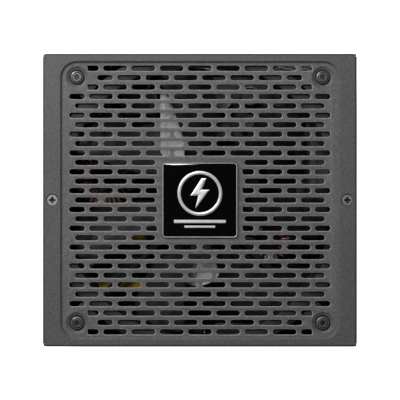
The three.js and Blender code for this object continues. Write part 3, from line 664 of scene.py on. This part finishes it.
for number, (sx, sy) in enumerate(CORNERS, 1):
    button_head(f"fan_screw_{number}", sx * SCREW_AT, sy * SCREW_AT, RECESS_Z - 0.95)
for side, hand in ((-1, "left"), (1, "right")):
    cross_head(f"lid_screw_{hand}", side * LID_SCREW_X, 0, HEIGHT - 0.12, 2.6)

# ---- badge ----
BADGE_LO, BADGE_HI = cad("badge_rim")
BADGE_HALF = (BADGE_HI.x - BADGE_LO.x) / 2
RIM = 0.85
FACE_Z = cad("badge_plate")[1].z


def make_badge():
    """A gloss plate in a rim that is bright along its crest and black on both flanks."""
    rim = Build()
    low, high = BADGE_LO.z, BADGE_HI.z
    path = rounded(BADGE_HALF, BADGE_HALF, 2.0, 8)
    bright = [(-0.27, low), (-0.27, high - 0.28), (-0.42, high)]
    bright += [(-0.52, high), (-0.72, high - 0.3), (-0.72, low)]
    rim.sweep(path, bright)
    rim.slot = 1
    rim.sweep(path, [(0, low), (0, high - 0.42), (-0.12, high - 0.3), (-0.28, high - 0.3), (-0.28, low)])
    rim.sweep(path, [(-0.71, low), (-0.71, high - 0.3), (-RIM, high - 0.34), (-RIM, low)])
    rim.done("badge_frame", "housing", [SILVER, GLOSS], ["badge_rim"], sharp=15)
    plate = Build()
    half = BADGE_HALF - RIM
    plate.slab(rounded(half, half, 1.2, 6), [], BADGE_LO.z, FACE_Z, edge=0.05)
    plate.done("badge_face", "housing", GLOSS, ["badge_plate"])


BOLT = [(0.12, 1), (-0.62, -0.14), (-0.1, -0.14), (-0.3, -1), (0.62, 0.24), (0.1, 0.24), (0.42, 1)]
BOLT_SIZE = 7.2
RING_R = 9.9
RING_Y = 3.2


def make_emblem():
    """A plain lightning bolt in a ring, over two bars."""
    emblem = Build()
    low, high = FACE_Z, BADGE_HI.z - 0.06
    bolt = [(x * BOLT_SIZE, y * BOLT_SIZE + RING_Y) for x, y in BOLT]
    emblem.faceted(bolt, low, high, 0.75)
    emblem.sweep(
        circle(RING_R, 72, 0, RING_Y),
        [(-0.75, low), (0.75, low), (0.75, high - 0.2), (0.1, high), (-0.1, high), (-0.75, high - 0.2)],
    )
    for half, thick, y in ((12.4, 0.75, -10.2), (7.4, 0.5, -12.7)):
        emblem.faceted(rounded(half, thick, 0.3, 3, 0, y), low, high, 0.3)
    emblem.done("badge_mark", "housing", SILVER, ["badge_emblem"], sharp=15)


make_badge()
make_emblem()

# ---- fan ----
FRAME_LO, FRAME_HI = cad("fan_frame")
BORE_R = 66.2
FLANGE = 3.5
FLANGE_R = 74.0
LUG_R = 5.5
HUB_R = 21.0
TIP_R = 64.8
BLADES = 7
BLADE_START = math.radians(-11.5)
BLADE_MIDDLE_Z = (FRAME_LO.z + FRAME_HI.z) / 2
BLADE_SWEEP = 0.1
CHORD, CHORD_LOSS = 0.48, 0.04
BLADE_RISE, RISE_LOSS, CAMBER = 17, 4.5, 1.8


def fan_lug(sx, sy):
    """The ear that runs out from the flange to a corner screw."""
    screw = SCREW_AT * math.sqrt(2)
    ear = arc(screw, 0, LUG_R, -90, 90, 10) + [(FLANGE_R - 2, LUG_R), (FLANGE_R - 2, -LUG_R)]
    turn = math.atan2(sy, sx)
    c, s = math.cos(turn), math.sin(turn)
    return [(x * c - y * s, x * s + y * c) for x, y in ear]


def make_fan_frame():
    """Two flanges with an ear to each corner screw, joined by a thin duct."""
    duct = Build()
    low, high, half = FRAME_LO.z, FRAME_HI.z, FRAME_HI.x
    outline = [(max(-half, min(half, x)), max(-half, min(half, y))) for x, y in circle(FLANGE_R, 128)]
    for bottom in (low, high - FLANGE):
        duct.slab(outline, [circle(BORE_R, 120)], bottom, bottom + FLANGE, 0.3, 0.5)
        for sx, sy in CORNERS:
            hole = circle(2.3, 20, sx * SCREW_AT, sy * SCREW_AT)
            duct.slab(fan_lug(sx, sy), [], bottom, bottom + FLANGE, 0.3, plain_holes=[hole])
    wall = [(-0.5, low + 3), (0.5, low + 3), (0.5, high - 3), (-0.5, high - 3)]
    duct.sweep(circle(BORE_R + 0.55, 120), wall)
    duct.done("fan_frame_moulding", "housing", FAN, ["fan_frame"])


def make_motor_mount():
    """The disc under the motor, its bearing post, and four arms with rounded backs."""
    mount = Build()
    low = FRAME_LO.z
    section = [(-2, 0.5), (-1.5, 0), (1.5, 0), (2, 0.5), (1.7, 2.0), (1.0, 2.5), (-1.0, 2.5), (-1.7, 2.0)]
    for quarter_turn in range(4):
        angle = math.pi / 2 * (quarter_turn + 0.5)
        c, s = math.cos(angle), math.sin(angle)
        mount.loft([[(r * c - a * s, r * s + a * c, low + z) for a, z in section] for r in (18.5, 65.75)])
    disc = [(HUB_R - 0.5, low), (HUB_R, low + 0.4), (HUB_R, low + 1.6), (HUB_R - 0.4, low + 2)]
    mount.turned(disc, 72)
    mount.sweep(circle(4.5, 40), [(-0.7, low + 1), (0.7, low + 1), (0.7, low + 17), (-0.7, low + 17)])
    mount.done("motor_mount_moulding", "housing", FAN, ["fan_motor_mount"])


def blade_section(index, across):
    """A closed loop round the blade at a fraction of the way from root to tip; chord is in radians."""
    radius = HUB_R - 0.8 + across * (TIP_R - HUB_R + 0.8)
    rounding = max(0.0, (across - 0.86) / 0.14)
    chord = (CHORD - CHORD_LOSS * across) * (1 - 0.2 * rounding ** 2.5)
    lead = BLADE_START + index * 2 * math.pi / BLADES + BLADE_SWEEP * across ** 2
    steps = 12
    loop = []
    for side in (1, -1):
        for i in range(steps + 1):
            along = i / steps if side > 0 else 1 - i / steps
            angle = lead + (along - 0.5) * chord
            rise = (BLADE_RISE - RISE_LOSS * across) * (along - 0.5) + CAMBER * math.sin(math.pi * along)
            thick = 0.25 + 0.55 * math.sin(math.pi * along) ** 0.6
            z = BLADE_MIDDLE_Z + rise + side * thick
            loop.append((radius * math.cos(angle), radius * math.sin(angle), z))
    return loop


def make_rotor():
    """Seven swept blades on a cup that is open below, with a shallow dish in its top."""
    rotor = Build()
    low, high = FRAME_LO.z + FLANGE, cad("fan_shaft")[1].z + 0.48
    shoulder = [(HUB_R - 1.8 + 1.8 * math.cos(a), high - 1.8 + 1.8 * math.sin(a)) for a in quarter(5)]
    profile = [(0.4, high - 1.9), (19.4, high - 1.9), (19.4, low), (HUB_R - 0.2, low), (HUB_R, low + 0.3)]
    profile += shoulder + [(15.6, high), (15.3, high - 0.3), (0.4, high - 0.3)]
    rotor.turned(profile, 96)
    for index in range(BLADES):
        rotor.loft([blade_section(index, k / 14) for k in range(15)])
    rotor.done("rotor_moulding", "rotor", FAN_BLADES, ["fan_rotor"], sharp=50)


make_fan_frame()
make_motor_mount()
make_rotor()

# ---- base tray ----
SKIRT, SEAM_GAP = 12, 0.3
SEAM = HEIGHT - SKIRT - SEAM_GAP
TAB_X = 70.35
TRAY_TOP = cad("base_tray")[1].z
BOARD_SCREWS = [(-64, -50), (64, -50), (-64, 61), (64, 61)]
BOARD_LOW = cad("main_board")[0].z


def tray_section():
    """Half of the tray's section, from the middle of its floor: out, up past the joggle and back down."""
    outer = arc(HALF_W - 1.4, 1.4, 1.4, -90, 0, 6)
    outer += [(HALF_W, SEAM - 0.9), (HALF_W - 0.15, SEAM - 0.3), (HALF_W - 0.7, SEAM)]
    outer += [(HALF_W - 1.1, SEAM + 0.12), (HALF_W - 1.3, SEAM + 0.5), (HALF_W - 1.3, TRAY_TOP)]
    inner = [(HALF_W - 2.3, TRAY_TOP), (HALF_W - 2.3, SEAM + 0.2), (HALF_W - 2.1, SEAM - 0.6)]
    inner += [(HALF_W - 1.4, SEAM - 1.0), (HALF_W - 1, SEAM - 1.5), (HALF_W - 1, 1.5), (HALF_W - 1.5, 1)]
    return outer + inner


def make_base_tray():
    """A folded sheet with tabs for the lid screws and a standoff under each board screw."""
    tray = Build()
    half = tray_section()
    section = half + [(-x, z) for x, z in reversed(half)]
    length = cad("base_tray")[1].y
    tray.strip((0, -length), (0, length), (1, 0), section)
    for side in (-1, 1):
        tab = rounded(2.4, 7, 0.6, 3, side * TAB_X, 0)
        hole = circle(1.7, 24, side * LID_SCREW_X, 0)
        tray.slab(tab, [], TRAY_TOP - SHEET, TRAY_TOP, edge=0.1, plain_holes=[hole])
    standoff_top = BOARD_LOW - 0.3
    standoff = [(-0.6, 0.8), (0.9, 0.8), (0.6, 1.3), (0.6, standoff_top), (-0.6, standoff_top)]
    for x, y in BOARD_SCREWS:
        tray.sweep(circle(2.4, 32, x, y), standoff)
    tray.done("base_tray_folded", "housing", COAT, ["base_tray"])


make_base_tray()

# ---- rear panel ----
ATX_HOLES = [(69, 6), (-69, 6), (69, 70), (-45, 80)]
INLET_X, INLET_Z, SWITCH_X, SWITCH_Z = -56, 34, -33, 34
INLET_CUT_OUT, SWITCH_CUT_OUT = (10.5, 14.2), (7.1, 10.8)
INLET_SCREW = 20
VENT_PITCH = 8.4
VENT_ACROSS = 7.1
VENT_X, VENT_Z = (-18, 65), (8, 79)
PANEL_TOP = cad("rear_panel")[1].z


def vent_hole(x, z):
    """A hexagon with two points up and down, and its corners rounded."""
    corner = 0.7
    apart = (VENT_ACROSS / 2 - corner) / math.cos(math.pi / 6)
    points = []
    for i in range(6):
        angle = 30 + 60 * i
        cx, cz = x + apart * math.cos(math.radians(angle)), z + apart * math.sin(math.radians(angle))
        points += arc(cx, cz, corner, angle - 30, angle + 30, 2)
    return points


def vent_holes():
    holes = []
    margin = VENT_PITCH / 2
    z, shifted = VENT_Z[0] + margin, False
    while z <= VENT_Z[1] - margin:
        x = VENT_X[0] + margin + (margin if shifted else 0)
        while x <= VENT_X[1] - margin:
            holes.append(vent_hole(x, z))
            x += VENT_PITCH
        z += VENT_PITCH * math.sin(math.pi / 3)
        shifted = not shifted
    return holes


def make_rear_panel():
    """The vent, the mounting holes, and openings for the inlet and the switch."""
    panel = Build(facing_rear)
    holes = vent_holes() + [circle(1.75, 24, x, z) for x, z in ATX_HOLES]
    cut_outs = [rounded(*INLET_CUT_OUT, 1.0, 3, INLET_X, INLET_Z)]
    cut_outs.append(rounded(*SWITCH_CUT_OUT, 1.0, 3, SWITCH_X, SWITCH_Z))
    cut_outs += [circle(1.9, 24, INLET_X, INLET_Z + end * INLET_SCREW) for end in (-1, 1)]
    outline = rounded(HALF_W, PANEL_TOP / 2, 0.4, 2, 0, PANEL_TOP / 2)
    panel.slab(outline, holes, HALF_D - SHEET, HALF_D, 0.15, 0.16, cut_outs, steps=2)
    panel.done("rear_panel_pressed", "housing", COAT, ["rear_panel"])


make_rear_panel()

# ---- front panel and its sockets ----
SOCKETS = sorted(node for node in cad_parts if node.startswith("socket_") and node != "socket_board")
PIN_PITCH = 4.2


def make_front_panel():
    panel = Build(facing_rear)
    windows = []
    for node in SOCKETS:
        x, _, z, wide, _, tall = placed(node)
        windows.append(rounded(wide / 2 + 0.3, tall / 2 + 0.3, 0.5, 3, x, z))
    outline = rounded(HALF_W, PANEL_TOP / 2, 0.4, 2, 0, PANEL_TOP / 2)
    panel.slab(outline, windows, -HALF_D, SHEET - HALF_D, 0.15, 0.12, steps=2)
    panel.done("front_panel_pressed", "housing", COAT, ["front_panel"])


def socket_cell(x, z, side, keyed):
    """A pin's cell: nearly square, or with the two corners on its outer side cut off where it is keyed."""
    half, cut = 1.68, 0.85 if keyed else 0.25
    points = [
        (-half, -half), (half, -half), (half, half - cut), (half - cut, half), (cut - half, half),
        (-half, half - cut),
    ]
    if keyed and side < 0:
        points = [(px, -pz) for px, pz in reversed(points)]
    return [(x + px, z + pz) for px, pz in points]


def make_socket(node):
    """Two rows of pin cells in a shroud, every second cell keyed, with a pin in each."""
    low, high = cad(node)
    x, _, z, wide, _, tall = placed(node)
    half_x, half_z = wide / 2, tall / 2
    columns = round((wide - 2.4) / PIN_PITCH)
    floor_y = high.y - 1.5
    cells, posts = [], []
    for column in range(columns):
        for row in (-1, 1):
            cx, cz = x + (column - (columns - 1) / 2) * PIN_PITCH, z + row * PIN_PITCH / 2
            cells.append(socket_cell(cx, cz, row, (column + (row > 0)) % 2))
            posts.append((cx, cz))
    shroud = Build(facing_rear)
    shroud.slab(rounded(half_x, half_z, 0.6, 3, x, z), cells, low.y, floor_y, 0.3, 0.14, steps=2)
    shroud.slab(rounded(half_x - 0.3, half_z - 0.3, 0.4, 2, x, z), [], floor_y - 0.2, high.y, 0.1, steps=1)
    shroud.slot = 1
    sizes = ((0.3, low.y + 1.6), (0.55, low.y + 2.3), (0.55, floor_y))
    square = [(-1, -1), (1, -1), (1, 1), (-1, 1)]
    for cx, cz in posts:
        shroud.loft([[(cx + a * r, cz + b * r, y) for a, b in square] for r, y in sizes])
    shroud.done(f"{node}_shroud", "housing", [BLACK, BRASS], [node])


make_front_panel()
for socket_node in SOCKETS:
    make_socket(socket_node)

# ---- mains inlet ----
INLET_FACE = cad("ac_inlet")[1].y
INLET_BACK = cad("ac_inlet")[0].y
INLET_DEPTH = 17


def inlet_cavity(grow=0.0):
    """The opening narrows on the earth blade's side."""
    wide, tall, cut = 8.25 + grow, 12 + grow, 4.5
    points = [(-wide, -tall), (wide - cut, -tall), (wide, cut - tall)]
    points += [(wide, tall - cut), (wide - cut, tall), (-wide, tall)]
    return [(INLET_X + px, INLET_Z + pz) for px, pz in points]


def make_inlet():
    """A flange with two screw holes, the hollow for a plug, and a solid back."""
    inlet = Build(facing_rear)
    screw_holes = [circle(1.9, 24, INLET_X, INLET_Z + end * INLET_SCREW) for end in (-1, 1)]
    flange = rounded(11.2, 25, 3, 8, INLET_X, INLET_Z)
    inlet.slab(flange, [inlet_cavity()], HALF_D + 0.1, INLET_FACE, 0.5, 0.35, screw_holes)
    bottom, mouth = INLET_FACE - INLET_DEPTH, HALF_D + 0.3
    inlet.sweep(inlet_cavity(0.75), [(-0.75, bottom), (0.75, bottom), (0.75, mouth), (-0.75, mouth)])
    inlet.slab(rounded(10.2, 13.9, 0.8, 3, INLET_X, INLET_Z), [], INLET_BACK, bottom, 0.3)
    inlet.done("inlet_moulding", "housing", BLACK, ["ac_inlet"])


def make_inlet_pins():
    for node in ("inlet_pin_earth", "inlet_pin_live", "inlet_pin_neutral"):
        low, high = cad(node)
        x, _, z, wide, _, tall = placed(node)
        pin = Build(facing_rear)
        pin.slab(rounded(wide / 2, tall / 2, 0.25, 3, x, z), [], low.y, high.y, 0.6, steps=4)
        pin.done(f"{node}_blade", "housing", PLATED, [node])


def make_inlet_screws():
    for end, sign in (("lower", -1), ("upper", 1)):
        node = f"inlet_screw_{end}"
        top = cad(node)[1].y
        cross_head(node, INLET_X, INLET_Z + sign * INLET_SCREW, top, 2.7, facing_rear, 1.35)


make_inlet()
make_inlet_pins()
make_inlet_screws()

# ---- power switch ----
BEZEL_FACE = cad("switch_housing")[1].y
ROCKER_R = 9.2
TIP_Z, TIP_Y = 7.2, 5.73
TILT = math.radians(9)
PIVOT_Y = BEZEL_FACE - 4.9
ROCKER_HALF = 5.6


def make_switch_housing():
    """A bezel, the well behind it and its back."""
    housing = Build(facing_rear)
    mouth = 8.14
    flange = rounded(7.6, 12, 1.2, 6, SWITCH_X, SWITCH_Z)
    opening = rounded(ROCKER_HALF + 0.3, mouth, 0.4, 3, SWITCH_X, SWITCH_Z)
    housing.slab(flange, [opening], HALF_D + 0.1, BEZEL_FACE, 0.45, 0.2)
    well = rounded(ROCKER_HALF + 0.75, 9.95, 0.5, 3, SWITCH_X, SWITCH_Z)
    back = cad("switch_housing")[0].y
    housing.sweep(well, [(-0.4, back + 0.8), (0.4, back + 0.8), (0.4, HALF_D + 0.3), (-0.4, HALF_D + 0.3)])
    housing.slab(rounded(6.8, 10.5, 0.8, 3, SWITCH_X, SWITCH_Z), [], back, back + 1, 0.2)
    housing.done("switch_moulding", "housing", BLACK, ["switch_housing"])


def on_rocker(across, height, outward):
    """The rocker's own plane, tilted about its pivot: across is X, height is Z and outward is +Y."""
    y = outward * math.cos(TILT) + height * math.sin(TILT)
    z = height * math.cos(TILT) - outward * math.sin(TILT)
    return (SWITCH_X + across, PIVOT_Y + y, SWITCH_Z + z)


def rocker_side(height, outward, across):
    """For an outline drawn on the rocker's side; across is how far it is carried."""
    return on_rocker(across, height, outward)


ROCKER_DIP = TIP_Y - TIP_Z * math.tan(TILT)


def on_face(hand):
    """A plane lying on one of the rocker's two faces: hand is 1 for the upper, -1 for the lower."""
    def place(across, height, outward):
        along = height * math.cos(TILT) - outward * math.sin(TILT)
        out = ROCKER_DIP + height * math.sin(TILT) + outward * math.cos(TILT)
        return on_rocker(across, hand * along, out)
    return place


def make_rocker():
    """Two faces that meet in a shallow V over an arc about the pivot; a line and a circle mark them."""
    rocker = Build(rocker_side)
    face = [(height, ROCKER_DIP + abs(height) * math.tan(TILT)) for height in (-6.9, -1.2, 1.2, 6.9)]
    face.insert(2, (0, ROCKER_DIP + 0.1))
    start = math.atan2(TIP_Y, TIP_Z)
    side = []
    for i in range(9):
        angle = start - 0.04 + (-0.35 - start + 0.04) * i / 8
        side.append((ROCKER_R * math.cos(angle), ROCKER_R * math.sin(angle)))
    outline = face + [(7.1, 5.68)] + side
    outline += [(-height, out) for height, out in reversed(side)] + [(-7.1, 5.68)]
    rocker.slab(outline[::-1], [], -ROCKER_HALF, ROCKER_HALF, 0.35)
    rocker.slot = 1
    rocker.turn = on_face(1)
    rocker.slab(rounded(0.35, 1.5, 0.15, 2, 0, 4.0), [], -0.05, 0.05)
    rocker.turn = on_face(-1)
    rocker.sweep(circle(1.35, 32, 0, 4.0), [(-0.3, -0.05), (0.3, -0.05), (0.3, 0.05), (-0.3, 0.05)])
    rocker.done("rocker_moulding", "rocker", [ROCKER, WHITE_NYLON], ["switch_rocker"])


make_switch_housing()
make_rocker()

# ---- parts on the boards ----
def capacitor(node, vents, metal):
    """A can in a shrunk sleeve with a bare top, scored so that it can vent."""
    x, y, _, wide, _, _ = placed(node)
    radius = wide / 2
    base, top = (corner.z for corner in cad(node))
    rim = min(1.2, radius * 0.12)
    can = Build()
    sleeve = [(radius - 0.6, base), (radius - 0.2, base + 0.3), (radius - 0.25, base + 1.8)]
    sleeve += [(radius - 0.6, base + 2.4), (radius - 0.25, base + 3.0), (radius, base + 3.4)]
    sleeve += [(radius, top - 1.2), (radius - 0.2, top - 0.5), (radius - rim * 0.6, top - 0.05)]
    sleeve += [(radius - rim, top - 0.1), (radius - rim, top - 0.6)]
    can.turned(sleeve, 48, x, y)
    can.slot = 1
    bare_r = radius - rim
    bare = [(bare_r + 0.1, top - 1), (bare_r + 0.05, top - 0.08), (bare_r - 0.35, top - 0.3)]
    can.turned(bare + [(bare_r - 0.6, top - 0.35), (0.2, top - 0.35)], 48, x, y)
    can.slot = 0
    reach, thin = radius * 0.62, 0.12
    score = [(0, -thin), (reach, -thin), (reach, thin), (0, thin)]
    for angle in vents:
        c, s = math.cos(angle), math.sin(angle)
        can.prism([(a * c - b * s + x, a * s + b * c + y) for a, b in score], top - 0.45, top - 0.3)
    can.done(f"{node}_can", "housing", [SLEEVE, metal], [node])


def wound_ring(node, turns, wire_r):
    """A toroid core with its turns of wire, each a tube bent round the core's section."""
    x, y, mid_z, wide, _, tall = placed(node)
    thick = tall * 0.56 if tall > 14 else tall * 0.42
    middle = wide / 2 - thick / 2
    ring = Build()
    half_r, half_z = thick / 2 - wire_r * 2.1, tall / 2 - wire_r * 2.1
    ring.sweep(circle(middle, 64, x, y), rounded(half_r, half_z, min(half_r, half_z) * 0.4, 3, 0, mid_z))
    ring.slot = 1
    loop = rounded(half_r + wire_r, half_z + wire_r, min(half_r, half_z) * 0.55, 3)
    for index in range(turns):
        angle = 2 * math.pi * (index + 0.5) / turns
        c, s = math.cos(angle), math.sin(angle)
        rings = []
        for i, (d, z) in enumerate(loop):
            before, after = Vector(loop[i - 1]), Vector(loop[(i + 1) % len(loop)])
            along = (after - before).normalized()
            normal = Vector((along.y, -along.x))
            section = []
            for k in range(6):
                turn = math.pi / 3 * k
                out, across = wire_r * math.cos(turn), wire_r * math.sin(turn)
                r = middle + d + normal.x * out
                section.append((x + r * c - across * s, y + r * s + across * c, mid_z + z + normal.y * out))
            rings.append(ring.ring(section))
        for i in range(len(rings)):
            ring.bridge(rings[i], rings[(i + 1) % len(rings)])
    ring.done(f"{node}_wound", "housing", [FERRITE, COPPER], [node], sharp=60)


def transformer(node, tape):
    """A pair of E-shaped ferrite halves round a bobbin wrapped in tape."""
    low, high = cad(node)
    x, y, _, wide, deep, tall = placed(node)
    made = Build()
    leg = wide * 0.11
    for side in (-1, 1):
        made.slab(rounded(leg, deep * 0.26, 0.6, 3, x + side * (wide / 2 - leg), y), [], low.z, high.z, 0.4)
    for z0, z1 in ((low.z, low.z + tall * 0.17), (high.z - tall * 0.17, high.z)):
        made.slab(rounded(wide / 2, deep * 0.26, 0.6, 3, x, y), [], z0, z1, 0.4)
    made.slot = 1
    winding = rounded(wide * 0.37, deep * 0.46, deep * 0.16, 6, x, y)
    made.slab(winding, [], low.z + tall * 0.15, high.z - tall * 0.1, 0.8)
    made.slot = 2
    bobbin_z = low.z + tall * 0.08
    made.slab(rounded(wide * 0.38, deep * 0.5, 1.0, 3, x, y), [], bobbin_z, bobbin_z + 1.2, 0.2)
    made.done(f"{node}_wound", "housing", [FERRITE, tape, BLACK], [node])


def rounded_case(node, material, corner):
    """A moulded box with rounded edges."""
    low, high = cad(node)
    x, y, _, wide, deep, _ = placed(node)
    case = Build()
    case.slab(rounded(wide / 2, deep / 2, corner, 4, x, y), [], low.z, high.z, edge=corner * 0.7)
    case.done(f"{node}_case", "housing", material, [node])


capacitor("bulk_capacitor", (0.5, 2.6, 4.7), ALUMINIUM)
# The output capacitors' tops take the dark aluminium, painted shade.
for number in range(1, 5):
    capacitor(f"output_capacitor_{number}", (0.4, 1.97, 3.54, 5.11), SHADE_DARK_METAL)
wound_ring("pfc_choke", 34, 0.62)
wound_ring("line_choke", 22, 0.6)
wound_ring("output_choke", 20, 0.75)
transformer("main_transformer", TAPE)
transformer("standby_transformer", FILM)
rounded_case("x_capacitor", GREY_CASE, 1.0)
for package in ("bridge_rectifier", "power_transistor_1", "power_transistor_2"):
    rounded_case(package, BLACK, 0.4)

# ---- CAD nodes whose shape is kept: only their material changes ----
KEPT = {
    "main_board": BLACK_BOARD, "socket_board": BLACK_BOARD, "insulating_sheet": FILM,
    "heatsink_primary": ALUMINIUM, "heatsink_secondary": SHADE_DARK_METAL,
    "fan_shaft": SCREW_STEEL, "fan_bearing": BRASS, "fan_stator": COPPER, "fan_lead": BLACK,
    **{f"board_screw_{number}": SCREW_STEEL for number in range(1, 5)},
}
for node, material in KEPT.items():
    for material_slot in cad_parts[node].material_slots:
        material_slot.material = material

# ---- stage, in metres ----
ROOM, ZENITH = 0.3, 0.012


def make_stage():
    """A pale floor just under the object, bright enough to read as white."""
    floor = bpy.data.meshes.new("floor")
    reach, level = 6.0, -0.0003
    corners = [(x * reach, y * reach, level) for x, y in ((-1, -1), (1, -1), (1, 1), (-1, 1))]
    floor.from_pydata(corners, [], [(0, 1, 2, 3)])
    paint = Paint("floor", (0.9, 0.9, 0.9), 0.9)
    paint.shader.inputs["Emission Color"].default_value = (1, 1, 1, 1)
    paint.shader.inputs["Emission Strength"].default_value = 0.9
    floor.materials.append(paint.material)
    piece = bpy.data.objects.new("floor", floor)
    bpy.context.scene.collection.objects.link(piece)


def area_light(name, place, size, power):
    """A square lamp that looks at the object."""
    data = bpy.data.lights.new(name, "AREA")
    data.size = size
    data.energy = power
    lamp = bpy.data.objects.new(name, data)
    lamp.location = place
    lamp.rotation_euler = (Vector((0, 0, 0.05)) - Vector(place)).to_track_quat("-Z", "Y").to_euler()
    bpy.context.scene.collection.objects.link(lamp)


def make_world():
    """A pale room that darkens overhead, so gloss facing up stays black."""
    world = bpy.data.worlds.new("world")
    bpy.context.scene.world = world
    world.use_nodes = True
    tree = world.node_tree
    place = tree.nodes.new("ShaderNodeTexCoord")
    parts = tree.nodes.new("ShaderNodeSeparateXYZ")
    ramp = tree.nodes.new("ShaderNodeMapRange")
    ramp.interpolation_type = "SMOOTHSTEP"
    for name, value in (("From Min", 0.55), ("From Max", 0.95), ("To Min", ROOM), ("To Max", ZENITH)):
        ramp.inputs[name].default_value = value
    tree.links.new(place.outputs["Generated"], parts.inputs[0])
    tree.links.new(parts.outputs["Z"], ramp.inputs["Value"])
    tree.links.new(ramp.outputs["Result"], tree.nodes["Background"].inputs["Strength"])
    tree.nodes["Background"].inputs["Color"].default_value = (1, 1, 1, 1)


make_stage()
area_light("key", (-0.40, 0.44, 0.47), 0.3, 4.4)
area_light("fill", (-0.10, 0.26, 0.8), 0.15, 2.0)
make_world()
bpy.context.scene.view_settings.view_transform = "Standard"
